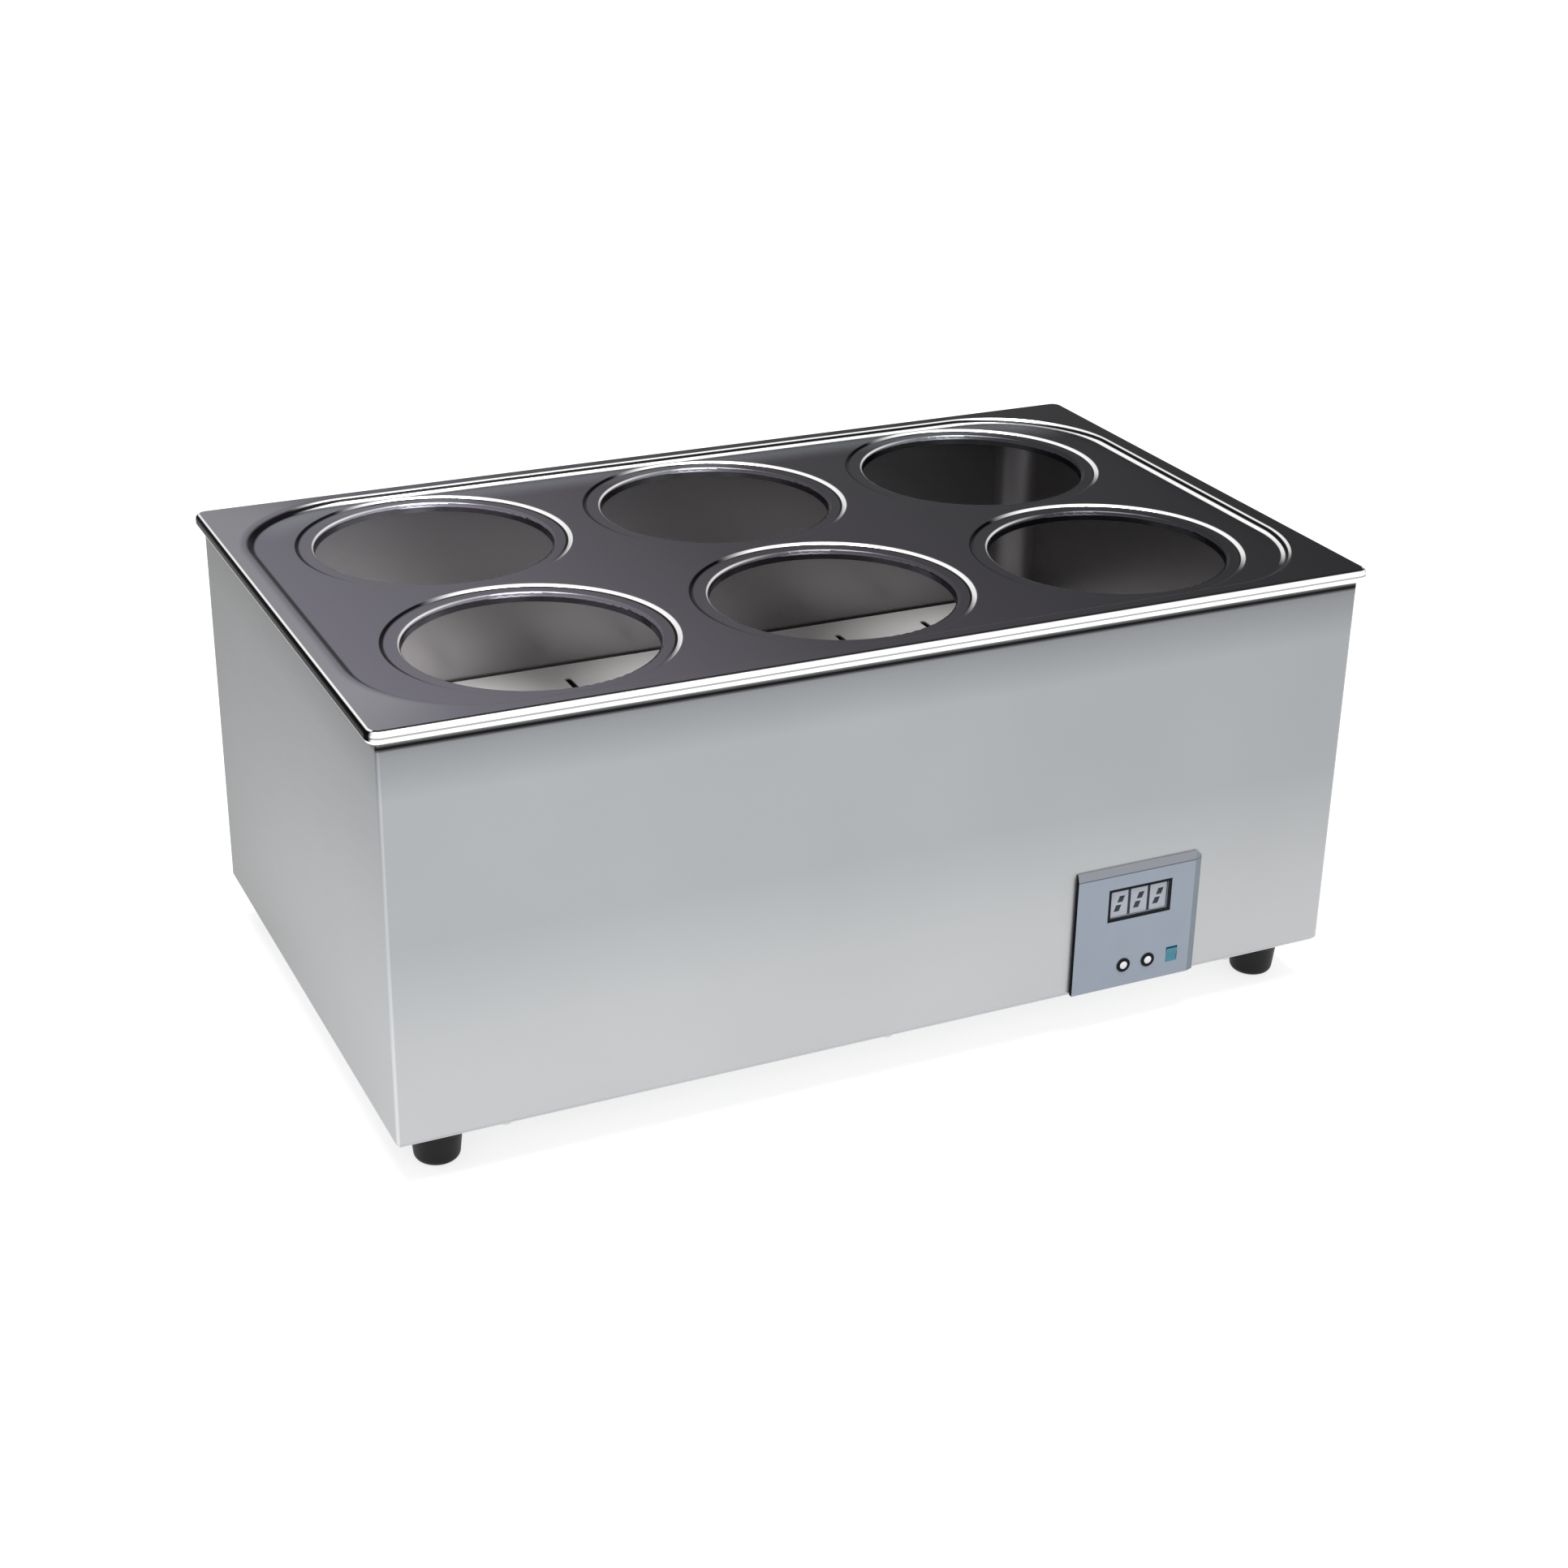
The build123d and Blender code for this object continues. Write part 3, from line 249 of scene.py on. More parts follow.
def reopen(material):
    """A made material again: its graph, its shader and the socket that colours it."""
    shader = material.node_tree.nodes["Principled BSDF"]
    return Graph(material.node_tree), shader, shader.inputs["Base Color"].links[0].from_socket


print("material starters ready")


# %% [markdown]
# ## Sheet steels
#
# Four sheets, one function. A sheet's tone is a ramp over its height, a painted reflection
# of a room that changes from floor to ceiling, and a second ramp from left to right scales it
# as painted light and shade. Clouds and grain then vary it by a few hundredths.


# %% Define the sheet finish
CLOUD_SHADES = (0.94, 1.05)
STREAK_SHADES = (0.96, 1.04)
ROUGH_SPREAD = (-0.05, 0.07)
GRAIN_DEPTH = 0.05 * MM
FINE_DEPTH = 0.03 * MM
SIDEWAYS = {"Scale_X": 25.0, "Scale_Y": 25.0, "Scale_Z": 3500.0}
ALONG_X = {"Scale_X": 30.0, "Scale_Y": 3500.0, "Scale_Z": 3500.0}


def sheet_steel(name, tones, roughness, grain, levels, painted_light_across=(1.0, 1.0, 1.0), metallic=1.0):
    """A steel sheet: tone ramps over height and width as painted reflection and painted shade, grain in
    tone, roughness and bump.
    """
    material, graph, shader = start(name, Metallic=metallic)
    sheet = use_group(graph, grain_group, **grain)
    # Painted reflection: the tone ramps over height.
    tone = graph.ramp(graph.rescale(graph.axes()["Z"], *levels), tones)
    # Painted light and shade: a ramp from left to right scales the tone.
    share = graph.rescale(graph.axes()["X"], casing_low.x, casing_high.x)
    painted_room_light = graph.ramp(share, [(step / 2, (level,) * 3) for step, level in enumerate(painted_light_across)])
    tone = graph.mix(1.0, tone, painted_room_light, blend="MULTIPLY")
    cloud = graph.rescale(sheet.outputs["Clouds"], 0.0, 1.0, *CLOUD_SHADES)
    streak = graph.rescale(sheet.outputs["Grain"], 0.0, 1.0, *STREAK_SHADES)
    shade = graph.scale(tone, graph.math("MULTIPLY", cloud, streak))
    graph.link(shade, shader, "Base Color")
    rough_ends = (roughness + spread for spread in ROUGH_SPREAD)
    rough = graph.rescale(sheet.outputs["Grain"], 0.0, 1.0, *rough_ends)
    graph.link(rough, shader, "Roughness")
    link_bump(graph, shader, sheet.outputs["Grain"], 0.06, GRAIN_DEPTH)
    return material, graph, shader, shade


print("cloud shades:", CLOUD_SHADES)

# %% [markdown]
# ## The casing
#
# The casing is satin, and its colour carries a painted reflection of its surroundings: light
# at the foot, where it faces the pale floor, and darker towards the lip. A thin black line of
# painted shadow lies where the cover's lip would shade it. Its ends are painted in darker
# shade, as if facing a darker room, more so at the rear and at the top, the whole is painted a
# little darker to the right, and the rounded folds between front and ends carry a painted
# pale highlight line.

# %% Make the casing's satin
CASING_LEVELS = (casing_low.z, casing_high.z)
# Painted reflection over height: light at the foot, darker towards the lip; the black band near the top is
# painted shadow under the lip.
CASING_PAINTED_TONES = [
    (0.0, (0.475, 0.48, 0.49)),
    (0.25, (0.43, 0.44, 0.45)),
    (0.5, (0.35, 0.362, 0.373)),
    (0.85, (0.345, 0.355, 0.37)),
    (0.955, (0.25, 0.26, 0.27)),
    (0.97, (0.22, 0.225, 0.235)),
    (0.974, (0.01, 0.01, 0.01)),
    (0.983, (0.01, 0.01, 0.01)),
    (0.987, (0.22, 0.225, 0.235)),
]
END_TURN = (0.3, 0.95)
END_FRONT_SHADE, END_REAR_SHADE, END_TOP_SHADE = 0.86, 0.34, 0.5
FOLD_TURN = (0.1, 0.4)
FOLD_GLINT = 1.35
casing_steel, graph, shader, shade = sheet_steel(
    "satin_casing_steel", CASING_PAINTED_TONES, 0.36, SIDEWAYS, CASING_LEVELS, painted_light_across=(1.0, 0.96, 0.88)
)
normal = graph.axes("Normal")
turn_x, turn_y = (graph.math("ABSOLUTE", normal[axis]) for axis in "XY")
spot = graph.axes()
# Painted shade on the ends, deeper at the rear and at the top, and a painted highlight on the folds.
painted_rear_shade = graph.rescale(spot["Y"], casing_low.y, casing_high.y, END_FRONT_SHADE, END_REAR_SHADE)
painted_top_shade = graph.rescale(graph.rescale(spot["Z"], *CASING_LEVELS), 0.5, 1.0, 1.0, END_TOP_SHADE)
painted_end_shade = graph.rescale(turn_x, *END_TURN, 1.0, graph.math("MULTIPLY", painted_rear_shade, painted_top_shade))
painted_fold_glint = graph.rescale(graph.math("MULTIPLY", turn_x, turn_y), *FOLD_TURN, 1.0, FOLD_GLINT)
shade = graph.scale(shade, graph.math("MULTIPLY", painted_end_shade, painted_fold_glint))
graph.link(shade, shader, "Base Color")
print("casing finish:", casing_steel.name)

# %% [markdown]
# ## Tank, shelf and base
#
# The tank is brighter than the casing, and painted shade darkens it from left to right, away
# from the window, over its painted reflection that darkens towards the top. The shelf is pale
# and hardly mirrors, and it is painted lighter at the left as painted light from the window.
# The base plate is zinc-coated and even.

# %% Make the inner sheets
tank_low, tank_high = (Vector(corner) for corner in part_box("tank"))
# Painted reflection over height and painted shade from left to right.
tank_steel = sheet_steel(
    "bright_tank_steel",
    [(0.0, (0.6, 0.59, 0.59)), (0.3, (0.5, 0.48, 0.5)), (1.0, (0.4, 0.385, 0.41))],
    0.3,
    SIDEWAYS,
    (tank_low.z, tank_high.z),
    painted_light_across=(1.0, 0.6, 0.44),
)[0]
shelf_low, shelf_high = (Vector(corner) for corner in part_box("shelf"))
# Painted light: the shelf is lighter at the left, where the window's light falls.
shelf_steel = sheet_steel(
    "bright_shelf_steel",
    [(0.0, (0.9, 0.89, 0.87)), (1.0, (0.96, 0.95, 0.93))],
    0.42,
    ALONG_X,
    (shelf_low.z, shelf_high.z),
    painted_light_across=(1.0, 0.42, 0.4),
    metallic=0.0,
)[0]
ZINC = (0.5, 0.51, 0.53)
base_steel = sheet_steel("zinc_base_steel", [(0.0, ZINC), (1.0, ZINC)], 0.45, ALONG_X, CASING_LEVELS)[0]
print("inner sheets:", tank_steel.name, shelf_steel.name, base_steel.name)

# %% [markdown]
# ## The stamped cover
#
# A bend in polished sheet is a curved mirror: it squeezes the whole room into a few
# lines, bright where it faces the window and black where it faces the dark side. Here those
# lines are painted reflections in the colour: painted highlights and painted shade. Each
# bend here follows a known outline, so the lines are drawn from a distance to it: the
# panel and the lip are rounded rectangles, and the seats and holes are circles. The
# outline's own direction then says which lines a point shows.

# %% Measure the cover
PANEL = Vector((269.6, 157.1)) * MM
PANEL_CORNER = 69.0 * MM
LIP_CORNER = 7.0 * MM
LIP_WIDTH = 2.4 * MM
LIP_DROP = 1.8 * MM
RING_PITCH = Vector((171.5, 157.8)) * MM
SEAT_RADIUS = 76.6 * MM
HOLE_RADIUS = 66.5 * MM
# Directions that pick where painted highlights and painted shade go.
TO_WINDOW = (0.82, 0.57, 0.0)
TO_DARK = (-0.8, 0.6, 0.0)
TO_LEFT = (-1.0, 0.15, 0.0)
TO_BACK = (0.0, 1.0, 0.0)
lip_low = casing_high.z - LIP_DROP
print("lip height in mm:", round((cover_high.z - lip_low) / MM, 1))


# %% [markdown]
# ## Outlines as distances
#
# The distance to a rounded rectangle needs only how far a point lies past the straight
# part of each side. Where it is past one side, that excess is the distance. Where it is
# past both, it is in a corner, and the two make the sides of a right triangle.


# %% Define the outline helpers
def smooth(graph, value, low, high, first=0.0, last=1.0):
    """A smooth rise of a number from one level to another, between two inputs."""
    return graph.rescale(value, low, high, first, last, "SMOOTHSTEP")


def grey(*stops):
    """Ramp stops from (position, level) pairs of grey."""
    return [(position, (level, level, level)) for position, level in stops]


def length_and_unit(graph, x, y):
    """The length of a level vector, and the vector of length one along it."""
    vector = graph.add("ShaderNodeCombineXYZ", X=x, Y=y).outputs[0]
    return graph.vector("LENGTH", vector)[1], graph.vector("NORMALIZE", vector)[0]


def facing(graph, unit, way, low, high):
    """How squarely a unit vector points one way, as a smooth share from 0 to 1."""
    return smooth(graph, graph.vector("DOT_PRODUCT", unit, way)[1], low, high)


def rounded_outline(graph, spot, half_x, half_y, corner):
    """Distance outside a rounded rectangle, and the way out from it."""
    past = []
    out = []
    for axis, half in (("X", half_x), ("Y", half_y)):
        beyond = graph.math("SUBTRACT", graph.math("ABSOLUTE", spot[axis]), half - corner)
        past.append(beyond)
        side = graph.math("SIGN", spot[axis])
        out.append(graph.math("MULTIPLY", graph.math("MAXIMUM", beyond, 0.0), side))
    length, outward = length_and_unit(graph, *out)
    inner = graph.math("MINIMUM", graph.math("MAXIMUM", *past), 0.0)
    return graph.math("SUBTRACT", graph.math("ADD", length, inner), corner), outward


def painted_bend_lines(graph, tone, place, span, bright, dark, lit, shaded):
    """The painted highlight and shade lines of one bend: place crosses it, lit and shaded say how it faces.
    """
    share = graph.rescale(place, *span)
    zone = graph.ramp(share, grey((0.0, 0.0), (0.06, 1.0), (0.94, 1.0), (1.0, 0.0)))
    darker = graph.mix(1.0, tone, graph.ramp(share, grey(*dark)), blend="MULTIPLY")
    tone = graph.mix(shaded, tone, darker)
    return graph.mix(graph.math("MULTIPLY", lit, zone), tone, graph.ramp(share, grey(*bright)))


print("outline helpers ready")

# %% [markdown]
# ## The cover's flats
#
# The flats carry a painted reflection of the ceiling, which fades from grey at the left to
# almost black at the right.

# %% Start the cover with its flats
FLAT_REFLECTION_TONES = [
    (0.0, (0.21, 0.2, 0.235)),
    (0.45, (0.078, 0.072, 0.083)),
    (0.75, (0.042, 0.04, 0.046)),
    (1.0, (0.02, 0.02, 0.023)),
]
cover_steel, graph, shader = start("polished_cover_steel", Metallic=1.0)
shader.inputs["Specular Tint"].default_value = (0.5, 0.5, 0.5, 1.0)
sheet = use_group(graph, grain_group, **ALONG_X)
spot = graph.axes()
# Painted reflection from left to right.
tone = graph.ramp(graph.rescale(spot["X"], cover_low.x, cover_high.x), FLAT_REFLECTION_TONES)
print("flat tones:", len(FLAT_REFLECTION_TONES))

# %% [markdown]
# ## The pressed panel
#
# The panel is pressed down inside a sloping step. Near the rear step a soft glow is painted
# on the panel, a painted reflection of the lit wall, and the flange beyond the left step is
# painted paler as a reflection. The step itself is painted with white, black and white lines
# of highlight and shade at the back and right, and one dark line of painted shade at the left.

# %% Draw the panel's step
STEP_SPAN = (-1.5 * MM, 5.0 * MM)
STEP_HIGHLIGHTS = [
    (0.0, 0.3),
    (0.1, 1.0),
    (0.36, 1.0),
    (0.44, 0.01),
    (0.64, 0.01),
    (0.7, 0.9),
    (0.84, 0.9),
    (0.92, 0.01),
]
STEP_SHADE = [(0.1, 1.0), (0.3, 0.05), (0.7, 0.05), (0.9, 1.0)]
GLOW_REACH = 28.0 * MM
GLOW_SHARE = 0.3
PAINTED_GLOW_TONE = (0.5, 0.53, 0.58)
LEFT_SHEEN_SPAN = (4.0 * MM, 9.0 * MM)
LEFT_SHEEN_SHARE = 0.5
LEFT_SHEEN_TONE = (0.42, 0.42, 0.44)
step_place, outward = rounded_outline(graph, spot, PANEL.x, PANEL.y, PANEL_CORNER)
# Painted reflection: a soft glow on the panel near the rear step.
painted_glow = smooth(graph, step_place, -GLOW_REACH, 0.0, 0.0, GLOW_SHARE)
painted_glow = graph.math("MULTIPLY", painted_glow, facing(graph, outward, TO_BACK, 0.3, 0.95))
in_panel = graph.math("LESS_THAN", step_place, 0.0)
tone = graph.mix(graph.math("MULTIPLY", painted_glow, in_panel), tone, PAINTED_GLOW_TONE)
# Painted reflection: the flange beyond the left step is paler.
painted_left_sheen = facing(graph, outward, TO_LEFT, 0.2, 0.9)
painted_left_sheen = graph.math("MULTIPLY", painted_left_sheen, smooth(graph, step_place, *LEFT_SHEEN_SPAN))
tone = graph.mix(graph.math("MULTIPLY", painted_left_sheen, LEFT_SHEEN_SHARE), tone, LEFT_SHEEN_TONE)
# Painted highlight and shade lines on the step.
lit = facing(graph, outward, TO_WINDOW, 0.1, 0.5)
shaded = facing(graph, outward, TO_DARK, 0.1, 0.9)
tone = painted_bend_lines(graph, tone, step_place, STEP_SPAN, STEP_HIGHLIGHTS, STEP_SHADE, lit, shaded)
print("step span in mm:", [round(place / MM, 1) for place in STEP_SPAN])

# %% [markdown]
# ## Ring seats and holes
#
# The six rings are alike, so a point is first moved to its own ring: its column is its
# place divided by the pitch, rounded and held to the three that exist, and its row is the
# sign of Y. What is left is a place around one centre.

# %% Draw the seats and the hole edges
SEAT_SPAN = (SEAT_RADIUS - 3.4 * MM, SEAT_RADIUS + 1.2 * MM)
SEAT_HIGHLIGHTS = [(0.0, 0.1), (0.12, 0.01), (0.34, 0.01), (0.44, 1.0), (0.86, 1.0), (0.96, 0.1)]
SEAT_SHADE = [(0.3, 1.0), (0.5, 0.05), (0.8, 0.05), (0.95, 1.0)]
HOLE_SPAN = (HOLE_RADIUS + 0.3 * MM, HOLE_RADIUS + 1.8 * MM)
HOLE_HIGHLIGHTS = [(0.0, 0.1), (0.2, 0.8), (0.6, 0.8), (0.9, 0.15)]
HOLE_SHEEN = [(0.0, 1.0), (0.2, 1.3), (0.6, 1.3), (1.0, 1.0)]
COLLAR_PAINTED_LIGHT = 1.6
column = graph.math("ROUND", graph.math("DIVIDE", spot["X"], RING_PITCH.x))
column = graph.math("MAXIMUM", graph.math("MINIMUM", column, 1.0), -1.0)
near_x = graph.math("SUBTRACT", spot["X"], graph.math("MULTIPLY", column, RING_PITCH.x))
row_y = graph.math("MULTIPLY", graph.math("SIGN", spot["Y"]), RING_PITCH.y / 2)
near_y = graph.math("SUBTRACT", spot["Y"], row_y)
radius, radial = length_and_unit(graph, near_x, near_y)
# Painted highlight and shade lines on each seat's step and each hole's edge.
lit = facing(graph, radial, TO_WINDOW, 0.05, 0.5)
shaded = facing(graph, radial, TO_DARK, 0.1, 0.8)
tone = painted_bend_lines(graph, tone, radius, SEAT_SPAN, SEAT_HIGHLIGHTS, SEAT_SHADE, lit, shaded)
lit = facing(graph, radial, TO_LEFT, 0.1, 0.8)
shaded = facing(graph, radial, TO_WINDOW, -0.4, 0.4)
tone = painted_bend_lines(graph, tone, radius, HOLE_SPAN, HOLE_HIGHLIGHTS, HOLE_SHEEN, lit, shaded)
# Painted light: the collar wall is lighter.
collar_wall = graph.math("LESS_THAN", radius, HOLE_SPAN[0])
tone = graph.mix(collar_wall, tone, graph.scale(tone, COLLAR_PAINTED_LIGHT))
print("seat radius in mm:", round(SEAT_RADIUS / MM, 1))

# %% [markdown]
# ## The rolled lip
#
# The lip is a small roll that turns down all round, so its painted reflection lines run
# level: bands over its height. The long sides are painted white, a thin grey line and white,
# and the ends a broad black band between two white lines, all of it painted reflection.

# %% Draw the lip and finish the cover
FRONT_LIP_REFLECTIONS = [
    (0.0, 0.02),
    (0.05, 1.0),
    (0.44, 1.0),
    (0.48, 0.35),
    (0.58, 0.35),
    (0.62, 1.0),
    (0.9, 1.0),
    (0.94, 0.02),
]
SIDE_LIP_REFLECTIONS = [
    (0.0, 0.02),
    (0.08, 0.02),
    (0.12, 1.0),
    (0.28, 1.0),
    (0.34, 0.004),
    (0.93, 0.004),
    (0.96, 1.0),
    (1.0, 1.0),
]
END_FACING = (0.6, 0.85)
POLISH_ROUGHNESS = (0.2, 0.3)
lip_place, outward = rounded_outline(graph, spot, cover_high.x, cover_high.y, LIP_CORNER)
up_lip = graph.rescale(spot["Z"], lip_low, cover_high.z)
sideways = graph.add("ShaderNodeSeparateXYZ", Vector=outward).outputs["X"]
at_end = smooth(graph, graph.math("ABSOLUTE", sideways), *END_FACING)
# Painted reflection bands on the lip.
painted_lip_bands = graph.mix(at_end, graph.ramp(up_lip, grey(*FRONT_LIP_REFLECTIONS)), graph.ramp(up_lip, grey(*SIDE_LIP_REFLECTIONS)))
tone = graph.mix(graph.math("GREATER_THAN", lip_place, -LIP_WIDTH), tone, painted_lip_bands)
graph.link(tone, shader, "Base Color")
rough = graph.rescale(sheet.outputs["Grain"], 0.0, 1.0, *POLISH_ROUGHNESS)
graph.link(rough, shader, "Roughness")
link_bump(graph, shader, sheet.outputs["Grain"], 0.03, FINE_DEPTH)
print("cover finish:", cover_steel.name)


# %% [markdown]
# ## Moulded plastics, rubber and silicone
#
# All of these share one recipe with different numbers: a base colour that drifts a
# little, the pebble of the mould as bump, and roughness that falls where hands have
# rubbed the surface.


# %% Make the moulded finishes
PEBBLE_DEPTH = 0.04 * MM
RUBBED = 0.06


def moulded(name, colour, roughness, pebble=0.12, coat=0.0, drift=0.06, **values):
    """A moulded part: drifting colour, pebbled bump, patchy roughness."""
    material, graph, shader = start(name, Coat_Weight=coat, **values)
    skin = use_group(graph, skin_group)
    light = tuple(min(1.0, c * (1 + drift)) for c in colour)
    dark = tuple(c * (1 - drift) for c in colour)
    graph.link(graph.mix(skin.outputs["Patches"], dark, light), shader, "Base Color")
    rough = graph.rescale(skin.outputs["Patches"], 0.0, 1.0, roughness + RUBBED, roughness - RUBBED)
    graph.link(rough, shader, "Roughness")
    link_bump(graph, shader, skin.outputs["Pebble"], pebble, PEBBLE_DEPTH)
    return material


foot_rubber = moulded(
    "foot_black_rubber", (0.003, 0.003, 0.003), 0.5, pebble=0.3, drift=0.2, Specular_IOR_Level=0.25
)
black_plastic = moulded("black_moulding", (0.004, 0.004, 0.005), 0.38, drift=0.15, Specular_IOR_Level=0.15)
rocker_plastic = moulded("teal_rocker", (0.004, 0.2, 0.29), 0.25, pebble=0.05, coat=0.3)
seal_silicone = moulded("seal_silicone", (0.7, 0.68, 0.63), 0.5, Subsurface_Weight=0.2)
relay_plastic = moulded("blue_relay_case", (0.03, 0.12, 0.42), 0.3, coat=0.3)
coil_tape = moulded("yellow_coil_tape", (0.72, 0.52, 0.06), 0.3, pebble=0.05, coat=0.4)
terminal_bead = moulded("glazed_bead", (0.85, 0.83, 0.78), 0.2, pebble=0.02, coat=0.6)
lagging_wool = moulded("mineral_wool", (0.62, 0.52, 0.25), 0.9, pebble=1.0, drift=0.25)
board_laminate = moulded("green_board", (0.03, 0.2, 0.07), 0.3, pebble=0.05, coat=0.3)
print("last moulded finish:", board_laminate.name)


# %% [markdown]
# ## Domed button caps
#
# A cap is pale, and its sloping edge is painted near black, a painted reflection of the dark
# ring around it. The mask is the distance to the nearer of the two button centres.

# %% Make the button caps
CAP_CLEAR = 2.1 * MM
CAP_BLEND = 0.4 * MM
RIM_REFLECTION_TONE = (0.002, 0.002, 0.003)
CAP_GLOSS, RIM_GLOSS = 0.5, 0.1
button_plastic = moulded("pale_button_cap", (0.8, 0.82, 0.86), 0.22, pebble=0.04)
graph, shader, tone = reopen(button_plastic)
place = graph.add("ShaderNodeTexCoord").outputs["Object"]
level = graph.vector("MULTIPLY", place, (1.0, 0.0, 1.0))[0]
gaps = []
for node in ("set_button", "shift_button"):
    low, high = (Vector(corner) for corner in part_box(node))
    middle = ((low.x + high.x) / 2, 0.0, (low.z + high.z) / 2)
    gaps.append(graph.vector("DISTANCE", level, middle)[1])
# Painted reflection: the cap's edge is painted near black.
painted_dark_rim = smooth(graph, graph.math("MINIMUM", *gaps), CAP_CLEAR, CAP_CLEAR + CAP_BLEND)
graph.link(graph.mix(painted_dark_rim, tone, RIM_REFLECTION_TONE), shader, "Base Color")
graph.link(graph.rescale(painted_dark_rim, 0.0, 1.0, CAP_GLOSS, RIM_GLOSS), shader, "Specular IOR Level")
print("button caps:", len(gaps))

# %% [markdown]
# ## The fascia's edges
#
# The fascia is one moulding in one colour, but its bevels are painted with reflections of
# other parts of the room: the top one paler, the right one darker and greener, and its
# left-facing side is painted black as shade. The masks read the direction of the normal,
# and one thin dark line of painted shade lies where the top bevel meets the face.

# %% Shade the fascia by direction
BEVEL_WIDTH = 4.6 * MM
LINE_WIDTH = 0.7 * MM
TILTED = 0.1
LEFT_SIDE_TILT = -0.5
TOP_BEVEL_SHEEN = (0.23, 0.245, 0.27)
RIGHT_BEVEL_SHADE = (0.18, 0.22, 0.25)
CREASE_SHADE_TONE = (0.1, 0.11, 0.14)
LEFT_SIDE_SHADE_TONE = (0.002, 0.002, 0.003)
FACE_GLOSS, LEFT_SIDE_GLOSS = 0.5, 0.05
fascia_plastic = moulded("fascia_blue_grey", (0.303, 0.351, 0.417), 0.45)
graph, shader, tone = reopen(fascia_plastic)
normal = graph.axes("Normal")
below_bevel = graph.math("ABSOLUTE", graph.math("SUBTRACT", graph.axes()["Z"], fascia_top - BEVEL_WIDTH))
crease_shade = graph.math("LESS_THAN", below_bevel, LINE_WIDTH / 2)
left_side_shade = graph.math("LESS_THAN", normal["X"], LEFT_SIDE_TILT)
# Painted reflection on the top and right bevels, painted shade on the crease and the left-facing side.
tone = graph.mix(graph.math("GREATER_THAN", normal["Z"], TILTED), tone, TOP_BEVEL_SHEEN)
tone = graph.mix(graph.math("GREATER_THAN", normal["X"], TILTED), tone, RIGHT_BEVEL_SHADE)
tone = graph.mix(crease_shade, tone, CREASE_SHADE_TONE)
tone = graph.mix(left_side_shade, tone, LEFT_SIDE_SHADE_TONE)
graph.link(tone, shader, "Base Color")
graph.link(graph.rescale(left_side_shade, 0.0, 1.0, FACE_GLOSS, LEFT_SIDE_GLOSS), shader, "Specular IOR Level")
print("fascia top in mm:", round(fascia_top / MM, 1))

# %% [markdown]
# ## Turned and plated metals
#
# Screws, glands and the heater are too small for a visible sheet grain. They take a
# fine, even noise for the marks of the lathe or the drawing die.


# %% Make the turned metals
DULL_SHADE = 0.82
MARKED = 0.08
EVEN_MARKS = {"Scale_X": 900.0, "Scale_Y": 900.0, "Scale_Z": 900.0, "Cloud_Scale": 60.0}


def turned(name, colour, roughness):
    """A turned or drawn metal: fine even marks in roughness and bump."""
    material, graph, shader = start(name, Metallic=1.0)
    sheet = use_group(graph, grain_group, **EVEN_MARKS)
    dark = tuple(c * DULL_SHADE for c in colour)
    graph.link(graph.mix(sheet.outputs["Clouds"], dark, colour), shader, "Base Color")
    rough = graph.rescale(sheet.outputs["Grain"], 0.0, 1.0, roughness - MARKED, roughness + MARKED)
    graph.link(rough, shader, "Roughness")
    link_bump(graph, shader, sheet.outputs["Grain"], 0.08, FINE_DEPTH)
    return material


fastener_steel = turned("plated_fastener_steel", (0.6, 0.6, 0.61), 0.28)
heater_sheath = turned("annealed_heater_tube", (0.36, 0.33, 0.3), 0.42)
gland_brass = turned("turned_gland_brass", (0.68, 0.5, 0.22), 0.3)
blade_brass = turned("plated_blade", (0.72, 0.66, 0.5), 0.22)
core_iron = turned("core_iron", (0.2, 0.2, 0.21), 0.5)
plug_steel = turned("turned_plug_steel", (0.55, 0.55, 0.56), 0.3)
print("last turned finish:", plug_steel.name)

# %% [markdown]
# ## The display window
#
# One flat moulding: a clear middle and a black printed border on the same piece. The
# border is a mask on the piece's own coordinates that drives colour and alpha, so the
# digits behind show only through the middle.

# %% Make the printed window
BORDER = 1.5 * MM
CLEAR_SHARE = 0.9
PRINT_TONE = (0.004, 0.004, 0.006)
CLEAR_TONE = (0.2, 0.22, 0.25)
window_middle = (window_low + window_high) / 2
clear_half = (window_high - window_low) / 2 - Vector((BORDER, 0, BORDER))
window_plastic, graph, shader = start("printed_window", Roughness=0.08, Specular_IOR_Level=0.1)
spot = graph.axes()
off_x = graph.math("ABSOLUTE", graph.math("SUBTRACT", spot["X"], window_middle.x))
off_z = graph.math("ABSOLUTE", graph.math("SUBTRACT", spot["Z"], window_middle.z))
within_x = graph.math("LESS_THAN", off_x, clear_half.x)
within_z = graph.math("LESS_THAN", off_z, clear_half.z)
inside = graph.math("MULTIPLY", within_x, within_z)
see_through = graph.math("MULTIPLY", inside, CLEAR_SHARE)
graph.link(graph.math("SUBTRACT", 1.0, see_through), shader, "Alpha")
graph.link(graph.mix(inside, PRINT_TONE, CLEAR_TONE), shader, "Base Color")
print("window middle:", [round(v, 4) for v in window_middle])

# %% [markdown]
# ## Assign the finishes
#
# A CAD node keeps its mesh and its slots, and each slot gets the finish that belongs to
# its piece. The record names one slot for each node, so the table is by slot, with the
# few nodes that differ listed after it.

